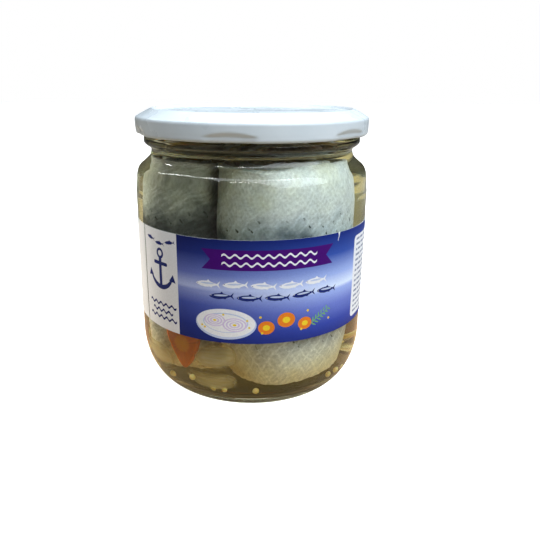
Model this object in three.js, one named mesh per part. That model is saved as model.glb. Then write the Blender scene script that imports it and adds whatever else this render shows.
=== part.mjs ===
// A clear glass jar of rolled pickled herring, shut with a white twist-off lid.
// Millimetres, +Z up. The origin is the middle of the jar's base, on the surface it stands on,
// and the front of the jar faces -Y. Angles round the jar run from the front towards +X.

import * as THREE from "three";

const { degToRad, lerp, smoothstep } = THREE.MathUtils;

// Jar glass, outside
const BODY_RADIUS = 43.1;
const BEARING_INNER = 25.5; // the flat ring that the jar stands on
const BEARING_OUTER = 29.7;
const PUSH_UP = 2.8; // rise of the hollow under the base
const HEEL_HEIGHT = 21; // the rounded heel is a quarter of an ellipse
const SHOULDER_START = 75;
const NECK_RADIUS = 37;
const NECK_HEIGHT = 88.7;
const BEAD_RADIUS = 39.4; // the ring of glass just under the lid
const BEAD_HEIGHT = 93.8;
const FINISH_RADIUS = 38.8; // the plain wall that the lid goes over
const RIM_HEIGHT = 100.8;

// Jar glass, inside
const WALL = 2.6;
const FLOOR_HEIGHT = 5.4;
const FLOOR_RISE = 1.5; // the floor follows the hollow under the base
const FLOOR_RADIUS = 27.5;
const INNER_HEEL_HEIGHT = 20.5;
const INNER_NECK_RADIUS = 34.6;
const BORE_RADIUS = 36.2;

// Twist-off closure: six threads on the glass, six lugs on the lid
const LUGS = 6;
const FIRST_LUG = -9.5; // degrees
const THREAD_HEIGHT = 98;
const THREAD_DEPTH = 1.2;
const THREAD_SPAN = 40; // degrees
const THREAD_FALL = 1.2;
const THREAD_CREST = 0.2; // half heights of the thread's top and of its foot
const THREAD_FOOT = 1.1;
const LID_RADIUS = 42.2;
const LID_BOTTOM = 94.8;
const LID_TOP = 103.5;
const LID_SHEET = 0.5;
const SKIRT_TOP = 100.1;
const SLOPE_BOTTOM = 101.2; // a shallow cone joins the skirt to the ring on top
const RING_OUTER = 37;
const RING_INNER = 35.9;
const PANEL_RADIUS = 35; // the middle lies sunk inside the ring
const PANEL_DEPTH = 0.8;
const CURL_DEPTH = 1.9; // the skirt's lower edge is rolled inwards
const LUG_SPAN = 23; // degrees
const LUG_DENT = 0.9;
const LUG_RISE = 1.6; // the dent's reach above the rolled edge, at its middle
const SEAL_INNER = 36.1;
const SEAL_OUTER = 38.9;

// Paper label, wrapped round the body until its ends nearly meet
const LABEL_BOTTOM = 29.3;
const LABEL_HEIGHT = 35.8;
const LABEL_THICKNESS = 0.25;
const LABEL_GAP = 0.15; // glue
const LABEL_START = -59.6; // degrees
const LABEL_SLIT = 1.1; // degrees left open between its ends

// Facets round the jar, along a rolled fillet, and along and round a sliver of onion
const TURNED_SEGMENTS = 60;
const FILLET_STEPS = 46;
const SLIVER_STEPS = 12;
const SLIVER_SIDES = 8;

// Garnish
const CARROT_CORNERS = 20;
const CARROT_ROUNDING = 0.5;
const CARROT_OVAL = 0.04; // how far a slice is out of round, in two and in three lobes
const CARROT_LOBES = 0.03;
const SLIVER_END = 0.15; // of its width, at both ends
const SLIVER_FULLNESS = 2.4;
const SLIVER_SOFTNESS = 0.7; // 1 is an oval section, less is squarer
const SLIVER_LEAN = 0.22; // one end is broader than the other
const SLIVER_SWAY = 0.05; // how far it winds out of its plane, and how fast
const SLIVER_BEND = 3;

// Clearance between the contents and the glass, and between two pieces of them
const WALL_CLEARANCE = 0.4;
const PIECE_CLEARANCE = 0.4;
const SQUEEZE = 2.5; // how far from a wall or a neighbour a roll starts to give

const steps = (count) => Array.from({ length: count + 1 }, (_, i) => i / count);

// Points along a quarter of an ellipse in the plane of radius and height.
function quarter(centre, halfWidth, halfHeight, from, count) {
  return steps(count).map((t) => {
    const angle = degToRad(from + 90 * t);
    return [
      centre[0] + halfWidth * Math.cos(angle),
      centre[1] + halfHeight * Math.sin(angle),
    ];
  });
}

// Points along a smooth line through a few given ones.
function through(points, count) {
  const curve = new THREE.SplineCurve(
    points.map(([radius, height]) => new THREE.Vector2(radius, height)),
  );
  return curve.getSpacedPoints(count).map((p) => [p.x, p.y]);
}

// Turns an outline of [radius, height] points round the jar's axis. The optional function
// gives a vertex a new radius from its angle, radius and height.
function turned(outline, newRadius) {
  const points = outline.map(([radius, height]) => new THREE.Vector2(radius, height));
  const geometry = new THREE.LatheGeometry(points, TURNED_SEGMENTS);
  geometry.rotateX(Math.PI / 2);
  if (!newRadius) return geometry;
  const vertices = geometry.getAttribute("position");
  for (let i = 0; i < vertices.count; i++) {
    const x = vertices.getX(i);
    const y = vertices.getY(i);
    const radius = Math.hypot(x, y);
    if (radius < 1) continue;
    const scale = newRadius(Math.atan2(x, -y), radius, vertices.getZ(i)) / radius;
    vertices.setXY(i, x * scale, y * scale);
  }
  return geometry;
}

// Degrees from an angle to the nearest of the lugs, which are spaced evenly round the jar.
function fromNearestLug(angle) {
  const pitch = 360 / LUGS;
  const turn = (THREE.MathUtils.radToDeg(angle) - FIRST_LUG) / pitch;
  return (turn - Math.round(turn)) * pitch;
}

const jarInside = [
  ...through(
    [
      [BORE_RADIUS, RIM_HEIGHT - 1],
      [BORE_RADIUS - 0.2, 95.5],
      [INNER_NECK_RADIUS + 0.5, 91.6],
      [INNER_NECK_RADIUS, 89.2],
      [INNER_NECK_RADIUS + 0.6, 86.8],
      [37.6, 84],
      [39.5, 81.6],
      [40, 79],
      [BODY_RADIUS - WALL, 74],
    ],
    9,
  ),
  ...quarter(
    [FLOOR_RADIUS, INNER_HEEL_HEIGHT],
    BODY_RADIUS - WALL - FLOOR_RADIUS,
    INNER_HEEL_HEIGHT - FLOOR_HEIGHT,
    -90,
    6,
  ).reverse(),
  [13, FLOOR_HEIGHT + FLOOR_RISE * 0.75],
  [0, FLOOR_HEIGHT + FLOOR_RISE],
];

// The outline runs from the middle of the underside, up the outside, over the rim and down
// the inside to the middle of the floor.
function jarGlass() {
  const outline = [
    [0, PUSH_UP],
    [14, PUSH_UP * 0.72],
    [BEARING_INNER, 0],
    ...quarter([BEARING_OUTER, HEEL_HEIGHT], BODY_RADIUS - BEARING_OUTER, HEEL_HEIGHT, -90, 7),
    ...through(
      [
        [BODY_RADIUS, SHOULDER_START],
        [42.7, 78.8],
        [42.4, 81.3],
        [41.5, 83.4],
        [39.6, 85.1],
        [NECK_RADIUS + 0.7, 86.9],
        [NECK_RADIUS, NECK_HEIGHT],
      ],
      8,
    ),
    [NECK_RADIUS + 0.2, 90.1],
    [BEAD_RADIUS - 0.9, 91],
    [BEAD_RADIUS, 92],
    [BEAD_RADIUS, BEAD_HEIGHT],
    [FINISH_RADIUS, BEAD_HEIGHT + 0.5],
    [FINISH_RADIUS, 96.2],
    [FINISH_RADIUS, 97.2],
    [FINISH_RADIUS, 98.1],
    [FINISH_RADIUS, 99],
    [FINISH_RADIUS, 99.9],
    [FINISH_RADIUS - 0.6, RIM_HEIGHT],
    [BORE_RADIUS + 0.6, RIM_HEIGHT],
    ...jarInside,
  ];
  return turned(outline, (angle, radius, height) => {
    if (Math.abs(radius - FINISH_RADIUS) > 0.01) return radius;
    const along = fromNearestLug(angle) / (THREAD_SPAN / 2);
    if (Math.abs(along) >= 1) return radius;
    const middle = THREAD_HEIGHT - THREAD_FALL * 0.5 * along;
    const rise = 1 - smoothstep(Math.abs(height - middle), THREAD_CREST, THREAD_FOOT);
    return radius + THREAD_DEPTH * rise * (1 - along * along);
  });
}

// Pressed sheet steel: a sunk middle, a ring round it, a cone and a skirt, whose rolled edge is
// pushed in at each lug.
function lid() {
  const panelTop = LID_TOP - PANEL_DEPTH;
  const skirt = LID_RADIUS - LID_SHEET;
  const curlTop = LID_BOTTOM + CURL_DEPTH;
  const outline = [
    [0, panelTop - LID_SHEET],
    [PANEL_RADIUS, panelTop - LID_SHEET],
    [RING_INNER, LID_TOP - LID_SHEET],
    [RING_OUTER - 0.2, LID_TOP - LID_SHEET],
    [skirt - 0.8, SLOPE_BOTTOM - LID_SHEET],
    [skirt, SKIRT_TOP - 0.3],
    [skirt - 0.1, curlTop],
    [skirt - 1.2, curlTop],
    [skirt - 1.6, LID_BOTTOM + CURL_DEPTH / 2],
    [skirt - 1.1, LID_BOTTOM],
    [LID_RADIUS - 0.7, LID_BOTTOM],
    [LID_RADIUS - 0.2, LID_BOTTOM + 0.6],
    [LID_RADIUS - 0.1, curlTop],
    [LID_RADIUS, (curlTop + SKIRT_TOP) / 2],
    [LID_RADIUS, SKIRT_TOP],
    [LID_RADIUS - 0.3, SKIRT_TOP + 0.7],
    [LID_RADIUS - 1, SLOPE_BOTTOM],
    [RING_OUTER + 0.6, LID_TOP - 0.4],
    [RING_OUTER - 0.2, LID_TOP],
    [RING_INNER, LID_TOP],
    [PANEL_RADIUS, panelTop],
    [0, panelTop],
  ];
  return turned(outline, (angle, radius, height) => {
    if (radius < RING_OUTER + 2) return radius;
    const along = fromNearestLug(angle) / (LUG_SPAN / 2);
    if (Math.abs(along) >= 1) return radius;
    const reach = curlTop + LUG_RISE * (1 - along * along);
    const fade = 1 - smoothstep(height, curlTop - 0.4, reach);
    return radius - LUG_DENT * fade * (1 - along ** 4);
  });
}

// The soft ring that the lid presses on the rim.
function lidSeal() {
  const bottom = RIM_HEIGHT + 0.3;
  return turned([
    [SEAL_INNER, bottom + 1.2],
    [SEAL_INNER, bottom],
    [SEAL_OUTER, bottom],
    [SEAL_OUTER, bottom + 0.4],
    [SEAL_INNER, bottom + 1.2],
  ]);
}

function label() {
  const inner = BODY_RADIUS + LABEL_GAP;
  const outer = inner + LABEL_THICKNESS;
  const from = degToRad(LABEL_START - 90);
  const to = from + degToRad(360 - LABEL_SLIT);
  const band = new THREE.Shape();
  band.absarc(0, 0, outer, from, to, false);
  band.absarc(0, 0, inner, to, from, true);
  return new THREE.ExtrudeGeometry(band, {
    depth: LABEL_HEIGHT,
    bevelEnabled: false,
    curveSegments: TURNED_SEGMENTS / 2,
  });
}

// Radius of the inner face of the glass at a height.
function insideRadius(height) {
  const upper = jarInside.findIndex(([, z]) => z <= height);
  if (upper <= 0) return BORE_RADIUS;
  const [r1, z1] = jarInside[upper - 1];
  const [r2, z2] = jarInside[upper];
  return lerp(r1, r2, (height - z1) / (z2 - z1));
}

// Presses a distance back so that it stays below a limit, more softly the nearer it comes.
function pressed(distance, limit, soft) {
  const start = limit - soft;
  if (distance <= start) return distance;
  return start + soft * (1 - Math.exp((start - distance) / soft));
}

// The rolled fillets. Each gives the middle of the roll, its free radius, the heights of its
// lower and upper edge, the thickness of the fillet and where its outer end lies, in degrees.
const ROLLS = {
  roll_front: {
    centre: [10.6, -16.4],
    radius: 22,
    bottom: 11.5,
    top: 85,
    thickness: 7.6,
    end: 150,
  },
  roll_left: {
    centre: [-17.8, -5.6],
    radius: 15,
    bottom: 9.8,
    top: 84.6,
    thickness: 5.6,
    end: 65,
  },
  roll_back: {
    centre: [-2, 19.5],
    radius: 19,
    bottom: 22,
    top: 83.4,
    thickness: 6.4,
    end: -60,
  },
};
const ROLL_TURNS = 2.1;
const END_THICKNESS = 0.3; // of the whole, at both ends of a fillet
const LAP = 0.18; // the part of a turn over which the roll dips to pass under its outer end
const OUTER_TAPER = 0.4; // turns over which the fillet thins towards either end
const INNER_TAPER = 0.35;
const SECTION = [-0.94, -0.6, 0, 0.6, 0.94]; // places across half the fillet's width
const UPPER_DRAW = 0.05; // how far the skin curves in at the edges, of the roll's radius
const LOWER_DRAW = 0.2;
const EDGE_THINNING = 0.4; // of the thickness
const UPPER_EDGE = { wave: 0.9, waves: 2.1, climb: 0.8 }; // wavy edges that wind up and down
const LOWER_EDGE = { wave: 1.1, waves: 1.7, climb: -0.5 };

// Squeezes a vertex of a roll against the wall of the jar and against the rolls beside it.
function squeezed(vertex, name) {
  const roll = ROLLS[name];
  const own = new THREE.Vector2(...roll.centre);
  const point = new THREE.Vector2(vertex.x, vertex.y);
  for (const [otherName, other] of Object.entries(ROLLS)) {
    if (otherName === name) continue;
    const towards = new THREE.Vector2(...other.centre).sub(own);
    const between = towards.length();
    towards.normalize();
    const border =
      (between ** 2 + roll.radius ** 2 - other.radius ** 2) / (2 * between) - PIECE_CLEARANCE / 2;
    const along = point.clone().sub(own).dot(towards);
    point.addScaledVector(towards, pressed(along, border, SQUEEZE) - along);
  }
  const radius = point.length();
  const limit = insideRadius(vertex.z) - WALL_CLEARANCE;
  point.multiplyScalar(pressed(radius, limit, SQUEEZE) / radius);
  return new THREE.Vector3(point.x, point.y, vertex.z);
}

// A boned double fillet, skin outwards, rolled up along its length and stood on end: a band
// with a rounded section, thick in the middle of its width and thin at its edges.
function filletRoll(name) {
  const { centre, radius, bottom, top, thickness, end } = ROLLS[name];
  const flesh = (turn) => {
    const outer = smoothstep(turn, 0, OUTER_TAPER);
    const inner = smoothstep(ROLL_TURNS - turn, 0, INNER_TAPER);
    return thickness * lerp(END_THICKNESS, 1, Math.min(outer, inner));
  };
  const skin = (turn) => {
    if (turn >= 1) return skin(turn - 1) - flesh(turn - 1) - PIECE_CLEARANCE;
    return radius - (flesh(0) + PIECE_CLEARANCE) * smoothstep(turn, 1 - LAP, 1);
  };
  const middle = (bottom + top) / 2;
  const half = (top - bottom) / 2;
  const positions = [];
  const index = [];
  const loop = SECTION.length * 2 + 2;
  for (const s of steps(FILLET_STEPS)) {
    const turn = s * ROLL_TURNS;
    const angle = degToRad(end) + turn * 2 * Math.PI;
    const stray = ({ wave, waves, climb }, start) =>
      wave * Math.sin(waves * angle + start) + climb * turn;
    const upper = stray(UPPER_EDGE, end);
    const lower = stray(LOWER_EDGE, -end);
    const height = (w) => middle + w * half + (w > 0 ? w * upper : -w * lower);
    const outside = (w) => skin(turn) * (1 - (w > 0 ? UPPER_DRAW : LOWER_DRAW) * w ** 4);
    const inside = (w) => outside(w) - flesh(turn) * (1 - EDGE_THINNING * w ** 4);
    const edge = (w) => (outside(w) + inside(w)) / 2;
    const section = [
      ...SECTION.map((w) => [outside(w), height(w)]),
      [edge(1), height(1)],
      ...SECTION.toReversed().map((w) => [inside(w), height(w)]),
      [edge(-1), height(-1)],
    ];
    for (const [reach, z] of section) {
      const x = centre[0] + reach * Math.sin(angle);
      const y = centre[1] - reach * Math.cos(angle);
      positions.push(...squeezed(new THREE.Vector3(x, y, z), name).toArray());
    }
  }
  for (let i = 0; i < FILLET_STEPS; i++) {
    for (let j = 0; j < loop; j++) {
      const here = i * loop + j;
      const next = i * loop + ((j + 1) % loop);
      index.push(here, here + loop, next, next, here + loop, next + loop);
    }
  }
  const last = FILLET_STEPS * loop;
  for (let j = 1; j < loop - 1; j++) {
    index.push(0, j, j + 1);
    index.push(last, last + j + 1, last + j);
  }
  const geometry = new THREE.BufferGeometry();
  geometry.setAttribute("position", new THREE.Float32BufferAttribute(positions, 3));
  geometry.setIndex(index);
  geometry.computeVertexNormals();
  return geometry;
}

// A slice of carrot, cut a little out of round, with its edge softened by the vinegar. A slice
// cut on the slant near the tip of the root is longer than wide and narrows along +X.
function carrotSlice(halfLength, halfWidth, thickness, narrowing) {
  const outline = new THREE.Shape(
    steps(CARROT_CORNERS)
      .slice(0, CARROT_CORNERS)
      .map((t) => {
        const angle = t * 2 * Math.PI;
        const lobe =
          1 + CARROT_OVAL * Math.sin(2 * angle) + CARROT_LOBES * Math.sin(3 * angle + 1);
        const across = halfWidth * (1 - narrowing * Math.cos(angle));
        return new THREE.Vector2(
          lobe * halfLength * Math.cos(angle),
          lobe * across * Math.sin(angle),
        );
      }),
  );
  const geometry = new THREE.ExtrudeGeometry(outline, {
    depth: thickness - 2 * CARROT_ROUNDING,
    bevelThickness: CARROT_ROUNDING,
    bevelSize: CARROT_ROUNDING,
    bevelOffset: -CARROT_ROUNDING,
    bevelSegments: 1,
  });
  geometry.translate(0, 0, CARROT_ROUNDING - thickness / 2);
  return geometry;
}

// A sliver of one layer of an onion: a short arc, widest near its middle and thin at both ends,
// with soft edges. Its outer face touches the vertical axis through the origin.
function onionSliver(radius, spanDegrees, thickness, width) {
  const half = degToRad(spanDegrees) / 2;
  const soft = (x) => Math.sign(x) * Math.abs(x) ** SLIVER_SOFTNESS;
  const positions = [];
  const index = [];
  for (const s of steps(SLIVER_STEPS)) {
    const t = 2 * s - 1;
    const body = lerp(SLIVER_END, 1, Math.sqrt(1 - Math.abs(t) ** SLIVER_FULLNESS));
    const wide = body * (1 + SLIVER_LEAN * t) * 0.5 * width;
    const thick = lerp(1, body, 0.5) * 0.5 * thickness;
    for (let j = 0; j < SLIVER_SIDES; j++) {
      const around = (2 * Math.PI * j) / SLIVER_SIDES;
      const reach = radius - thickness / 2 + thick * soft(Math.cos(around));
      positions.push(
        reach * Math.cos(half * t) - radius,
        reach * Math.sin(half * t),
        wide * soft(Math.sin(around)) + SLIVER_SWAY * width * Math.sin(SLIVER_BEND * t),
      );
    }
  }
  for (let i = 0; i < SLIVER_STEPS; i++) {
    for (let j = 0; j < SLIVER_SIDES; j++) {
      const here = i * SLIVER_SIDES + j;
      const next = i * SLIVER_SIDES + ((j + 1) % SLIVER_SIDES);
      index.push(here, here + SLIVER_SIDES, next, next, here + SLIVER_SIDES, next + SLIVER_SIDES);
    }
  }
  const last = SLIVER_STEPS * SLIVER_SIDES;
  for (let j = 1; j < SLIVER_SIDES - 1; j++) {
    index.push(0, j, j + 1);
    index.push(last, last + j + 1, last + j);
  }
  const geometry = new THREE.BufferGeometry();
  geometry.setAttribute("position", new THREE.Float32BufferAttribute(positions, 3));
  geometry.setIndex(index);
  geometry.computeVertexNormals();
  return geometry;
}

const finish = {
  glass: { color: 0xdfe8df, roughness: 0.05, metalness: 0, transparent: true, opacity: 0.35 },
  enamel: { color: 0xe4eef2, roughness: 0.3, metalness: 0.1 },
  seal: { color: 0xe9e6dc, roughness: 0.6, metalness: 0 },
  paper: { color: 0x24409c, roughness: 0.55, metalness: 0 },
  skin: { color: 0xa9b3ae, roughness: 0.3, metalness: 0.3 },
  carrot: { color: 0xd9791f, roughness: 0.45, metalness: 0 },
  onion: { color: 0xd8cfa4, roughness: 0.35, metalness: 0 },
};

const jar = new THREE.Group();

function add(group, name, geometry, look) {
  const mesh = new THREE.Mesh(geometry, new THREE.MeshStandardMaterial(look));
  mesh.name = name;
  group.add(mesh);
  return mesh;
}

add(jar, "jar_glass", jarGlass(), finish.glass);
add(jar, "lid", lid(), finish.enamel);
add(jar, "lid_seal", lidSeal(), finish.seal);
add(jar, "label", label(), finish.paper).position.z = LABEL_BOTTOM;

const contents = new THREE.Group();
jar.add(contents);
for (const name of Object.keys(ROLLS)) {
  add(contents, name, filletRoll(name), finish.skin);
}

// The pieces of garnish lie low in the jar, where the rolls leave room. Each is placed by its
// angle round the jar, its distance from the axis and its height, and turned about the lines
// that point outwards, along the wall and up.
function garnish(name, geometry, look, angle, out, height, turn) {
  const spot = new THREE.Group();
  spot.rotation.z = degToRad(angle - 90);
  contents.add(spot);
  const piece = add(spot, name, geometry, look);
  piece.position.set(out, 0, height);
  piece.rotation.set(...turn.map(degToRad), "ZYX");
}

const { carrot, onion } = finish;
garnish("carrot_front", carrotSlice(9.2, 5.8, 3.8, 0.4), carrot, -39.5, 35, 23.5, [0, 94, 8]);
garnish("carrot_left", carrotSlice(8.4, 8.4, 4, 0), carrot, -102, 34.4, 17, [0, 100, 10]);
garnish("carrot_back", carrotSlice(7, 7, 4.2, 0), carrot, 180, 28, 13.2, [0, 36, 12]);
garnish("onion_front", onionSliver(24, 38, 2.4, 9.4), onion, -19, 38.8, 21.4, [5, 0, 0]);
garnish("onion_low", onionSliver(22, 54, 2.4, 8.4), onion, -23.5, 35.6, 10.4, [0, 36, -4]);
garnish("onion_left", onionSliver(24, 44, 2.4, 10), onion, -62, 37, 15, [-6, 30, 0]);
garnish("onion_back", onionSliver(21, 66, 2.6, 12), onion, 112, 38, 20, [6, 0, 0]);
garnish("onion_middle", onionSliver(13, 100, 2.4, 10), onion, -140, 25, 13, [0, 0, 20]);

export default jar;
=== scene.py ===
import math
import random
from functools import partial

import bpy
import numpy as np
from mathutils import Matrix, Vector, noise
from mathutils.geometry import delaunay_2d_cdt


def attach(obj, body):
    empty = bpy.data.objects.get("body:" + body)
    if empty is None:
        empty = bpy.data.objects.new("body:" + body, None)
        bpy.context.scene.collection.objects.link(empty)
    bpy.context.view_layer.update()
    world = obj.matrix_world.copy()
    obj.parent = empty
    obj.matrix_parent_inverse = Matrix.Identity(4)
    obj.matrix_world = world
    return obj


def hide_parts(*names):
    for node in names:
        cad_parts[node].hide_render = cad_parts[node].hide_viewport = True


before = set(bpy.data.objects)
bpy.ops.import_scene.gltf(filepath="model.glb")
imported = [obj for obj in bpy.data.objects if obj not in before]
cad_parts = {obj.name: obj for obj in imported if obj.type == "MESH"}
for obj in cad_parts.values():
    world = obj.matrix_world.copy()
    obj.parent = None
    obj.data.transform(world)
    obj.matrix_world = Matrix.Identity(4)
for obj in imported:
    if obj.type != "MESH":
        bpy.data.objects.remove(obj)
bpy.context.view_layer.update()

# The jar
# Clear flint glass, blown in a split mould that leaves a fine seam up both sides. It has a hollow base,
# a rounded heel, a tight shoulder and a finish with a bead and six short threads. Only the outside touched
# the mould, so the inside is a little uneven and bends what lies behind it.

MM = 0.001
BODY_RADIUS = 43.1
BEARING_INNER = 25.5
BEARING_OUTER = 29.7
PUSH_UP = 2.8
HEEL_HEIGHT = 21
SHOULDER_START = 75
NECK_RADIUS = 37
BEAD_RADIUS = 39.4
BEAD_HEIGHT = 93.8
FINISH_RADIUS = 38.8
RIM_HEIGHT = 100.8
WALL = 2.6
FLOOR_HEIGHT = 5.4
FLOOR_RISE = 1.5
FLOOR_RADIUS = 27.5
INNER_HEEL_HEIGHT = 20.5
INNER_NECK_RADIUS = 34.6
BORE_RADIUS = 36.2
FACETS = 288

LUGS = 6
FIRST_LUG = -9.5
THREAD_HEIGHT = 98
THREAD_DEPTH = 1.2
THREAD_SPAN = 40
THREAD_FALL = 1.2

SEAM_ANGLE = -15.5
SEAM_DEPTH = 0.12
SEAM_WIDTH = 0.35
WAVER_DEPTH = 0.16
WAVER_LENGTH = 16


def smoothstep(x, low, high):
    t = np.clip((x - low) / (high - low), 0, 1)
    return t * t * (3 - 2 * t)


def smooth_line(points, count):
    """Evenly spaced points along a smooth line through a few given ones."""
    given = np.array([points[0], *points, points[-1]], float)
    t = np.linspace(0, len(points) - 1, 40 * len(points))
    first = np.minimum(t.astype(int), len(points) - 2)
    w = (t - first)[:, None]
    a, b, c, d = (given[first + i] for i in range(4))
    line = b + w * (c - a) / 2 + w**2 * (a - 2.5 * b + 2 * c - d / 2)
    line += w**3 * (3 * (b - c) + d - a) / 2
    run = np.concatenate([[0], np.cumsum(np.hypot(*np.diff(line, axis=0).T))])
    even = np.linspace(0, run[-1], count + 1)
    return [(np.interp(s, run, line[:, 0]), np.interp(s, run, line[:, 1])) for s in even]


def arc(centre, half_width, half_height, start, end, count):
    """Points along part of an ellipse, from one angle to another in degrees."""
    turns = np.radians(np.linspace(start, end, count + 1))
    return [(centre[0] + half_width * math.cos(a), centre[1] + half_height * math.sin(a)) for a in turns]


def add_piece(name, verts, faces, materials, crease=40):
    """Makes a smooth mesh piece from vertices in metres, creased where faces meet at more than an angle."""
    mesh = bpy.data.meshes.new(name)
    mesh.from_pydata([tuple(v) for v in verts], [], faces)
    for material in materials:
        mesh.materials.append(material)
    mesh.shade_smooth()
    mesh.set_sharp_from_angle(angle=math.radians(crease))
    piece = bpy.data.objects.new(name, mesh)
    bpy.context.scene.collection.objects.link(piece)
    return piece


def turned(name, outline, material, facets=FACETS, reach=None):
    """Turns an outline of (radius, height) points in mm round the jar's axis. It starts and ends on the
    axis or closes on itself. reach(degrees, radius, height) can give a point another radius."""
    verts, rings = [], []
    for radius, height in outline:
        if radius == 0:
            rings.append([len(verts)] * facets)
            verts.append((0, 0, height * MM))
            continue
        rings.append(range(len(verts), len(verts) + facets))
        for i in range(facets):
            turn = 360 * i / facets
            r = reach(turn, radius, height) if reach else radius
            verts.append(on_jar(turn, r, height))
    if outline[0][0] > 0:
        rings.append(rings[0])
    faces = []
    for low, high in zip(rings, rings[1:]):
        for i in range(facets):
            j = (i + 1) % facets
            faces.append(list(dict.fromkeys([low[i], low[j], high[j], high[i]])))
    return add_piece(name, verts, faces, [material])


def on_jar(degrees, radius, height):
    """A place in metres from an angle round the jar, counted from its front towards +X, and from mm."""
    turn = math.radians(degrees)
    return radius * MM * math.sin(turn), -radius * MM * math.cos(turn), height * MM


def from_nearest(degrees, first, pitch):
    """Degrees from an angle to the nearest of a row of places evenly spaced round the jar."""
    turn = (degrees - first) / pitch
    return (turn - round(turn)) * pitch


def linear(hex_colour):
    """A linear colour with alpha, from an sRGB hex value."""
    parts = [int(hex_colour[i : i + 2], 16) / 255 for i in (1, 3, 5)]
    return [p / 12.92 if p <= 0.04045 else ((p + 0.055) / 1.055) ** 2.4 for p in parts] + [1]


def node(tree, kind, inputs=None, stops=None, **settings):
    """Adds a shader node. inputs gives each named or numbered input a value, another node's output, or
    another node for its first output. stops are a colour ramp's (place, hex colour) pairs, settings the
    node's own."""
    made = tree.nodes.new("ShaderNode" + kind)
    for name, value in settings.items():
        setattr(made, name, value)
    for place, colour in stops or []:
        ends = made.color_ramp.elements
        stop = ends[0] if place == stops[0][0] else ends[-1] if place == stops[-1][0] else ends.new(place)
        stop.position = place
        stop.color = linear(colour)
    for key, value in (inputs or {}).items():
        if isinstance(value, bpy.types.Node):
            tree.links.new(value.outputs[0], made.inputs[key])
        elif isinstance(value, bpy.types.NodeSocket):
            tree.links.new(value, made.inputs[key])
        else:
            made.inputs[key].default_value = value
    return made


def new_material(name):
    """An empty material, and the function that adds nodes to it."""
    made = bpy.data.materials.new(name)
    made.use_nodes = True
    made.node_tree.nodes.clear()
    return made, partial(node, made.node_tree)


def clear_shader(add, clear, tint):
    """Lets lamps and bounced light straight through a clear shader, as caustics settle too slowly."""
    straight = add("BsdfTransparent", {"Color": linear(tint)})
    path = add("LightPath")
    rays = {0: path.outputs["Is Shadow Ray"], 1: path.outputs["Is Diffuse Ray"]}
    plain = add("Math", rays, operation="MAXIMUM")
    return add("MixShader", {0: plain, 1: clear, 2: straight})


# Flint glass is colourless with the faintest green in its depth. Its moulded outside is fire polished,
# with shallow waves some 10 mm long that make the reflections swim. Where brine wets the inside, light only
# crosses from glass to brine, which hardly reflects: the step there is 1.52 over 1.34.
GLASS_IOR = 1.52
BRINE_IOR = 1.34


def flint_glass(name, ior):
    made, add = new_material(name)
    place = add("TexCoord").outputs["Object"]
    waves = add("TexNoise", {"Vector": place, "Scale": 1 / (10 * MM), "Detail": 1.0})
    wavy = add("Bump", {"Strength": 0.12, "Distance": 0.25 * MM, "Height": waves})
    glass = add("BsdfPrincipled", {
        "Base Color": linear("#f4f8f3"), "Roughness": 0.0, "IOR": ior, "Transmission Weight": 1.0,
        "Normal": wavy,
    })
    add("OutputMaterial", {"Surface": clear_shader(add, glass, "#f2f7f1")})
    return made


dry_glass = flint_glass("fire polished flint glass", GLASS_IOR)
wet_glass = flint_glass("flint glass wetted by brine", GLASS_IOR / BRINE_IOR)

jar_inside = smooth_line([
    (BORE_RADIUS, RIM_HEIGHT - 1), (BORE_RADIUS - 0.2, 95.5), (INNER_NECK_RADIUS + 0.5, 91.6),
    (INNER_NECK_RADIUS, 89.2), (INNER_NECK_RADIUS + 0.6, 86.8), (37.6, 84), (39.5, 81.6), (40, 79),
    (BODY_RADIUS - WALL, 74),
], 34)
inner_heel = arc(
    (FLOOR_RADIUS, INNER_HEEL_HEIGHT), BODY_RADIUS - WALL - FLOOR_RADIUS,
    INNER_HEEL_HEIGHT - FLOOR_HEIGHT, 0, -90, 22,
)
jar_inside += smooth_line([(BODY_RADIUS - WALL, 73), inner_heel[0]], 18)[:-1]
jar_inside += inner_heel
jar_inside += smooth_line([
    inner_heel[-1], (13, FLOOR_HEIGHT + FLOOR_RISE * 0.75), (0, FLOOR_HEIGHT + FLOOR_RISE),
], 10)[1:]
jar_inside[-1] = (0, FLOOR_HEIGHT + FLOOR_RISE)

jar_outside = [
    (0, PUSH_UP),
    *smooth_line([(4, PUSH_UP * 0.97), (14, PUSH_UP * 0.72), (BEARING_INNER - 0.8, 0.1)], 10),
    (BEARING_INNER, 0),
    *arc((BEARING_OUTER, HEEL_HEIGHT), BODY_RADIUS - BEARING_OUTER, HEEL_HEIGHT, -90, 0, 26),
    *smooth_line([(BODY_RADIUS, HEEL_HEIGHT + 1), (BODY_RADIUS, SHOULDER_START - 1)], 18),
    *smooth_line([
        (BODY_RADIUS, SHOULDER_START), (42.7, 78.8), (42.4, 81.3), (41.5, 83.4), (39.6, 85.1),
        (NECK_RADIUS + 0.7, 86.9), (NECK_RADIUS, 88.7), (NECK_RADIUS + 0.2, 90.1),
        (BEAD_RADIUS - 0.9, 91), (BEAD_RADIUS, 92), (BEAD_RADIUS, BEAD_HEIGHT - 0.4),
    ], 46),
    (BEAD_RADIUS - 0.15, BEAD_HEIGHT),
    *smooth_line([(FINISH_RADIUS, BEAD_HEIGHT + 0.5), (FINISH_RADIUS, RIM_HEIGHT - 0.9)], 20),
    *arc((FINISH_RADIUS - 0.8, RIM_HEIGHT - 0.8), 0.8, 0.8, 10, 90, 4),
    *arc((BORE_RADIUS + 0.8, RIM_HEIGHT - 0.8), 0.8, 0.8, 90, 170, 4),
]


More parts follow.
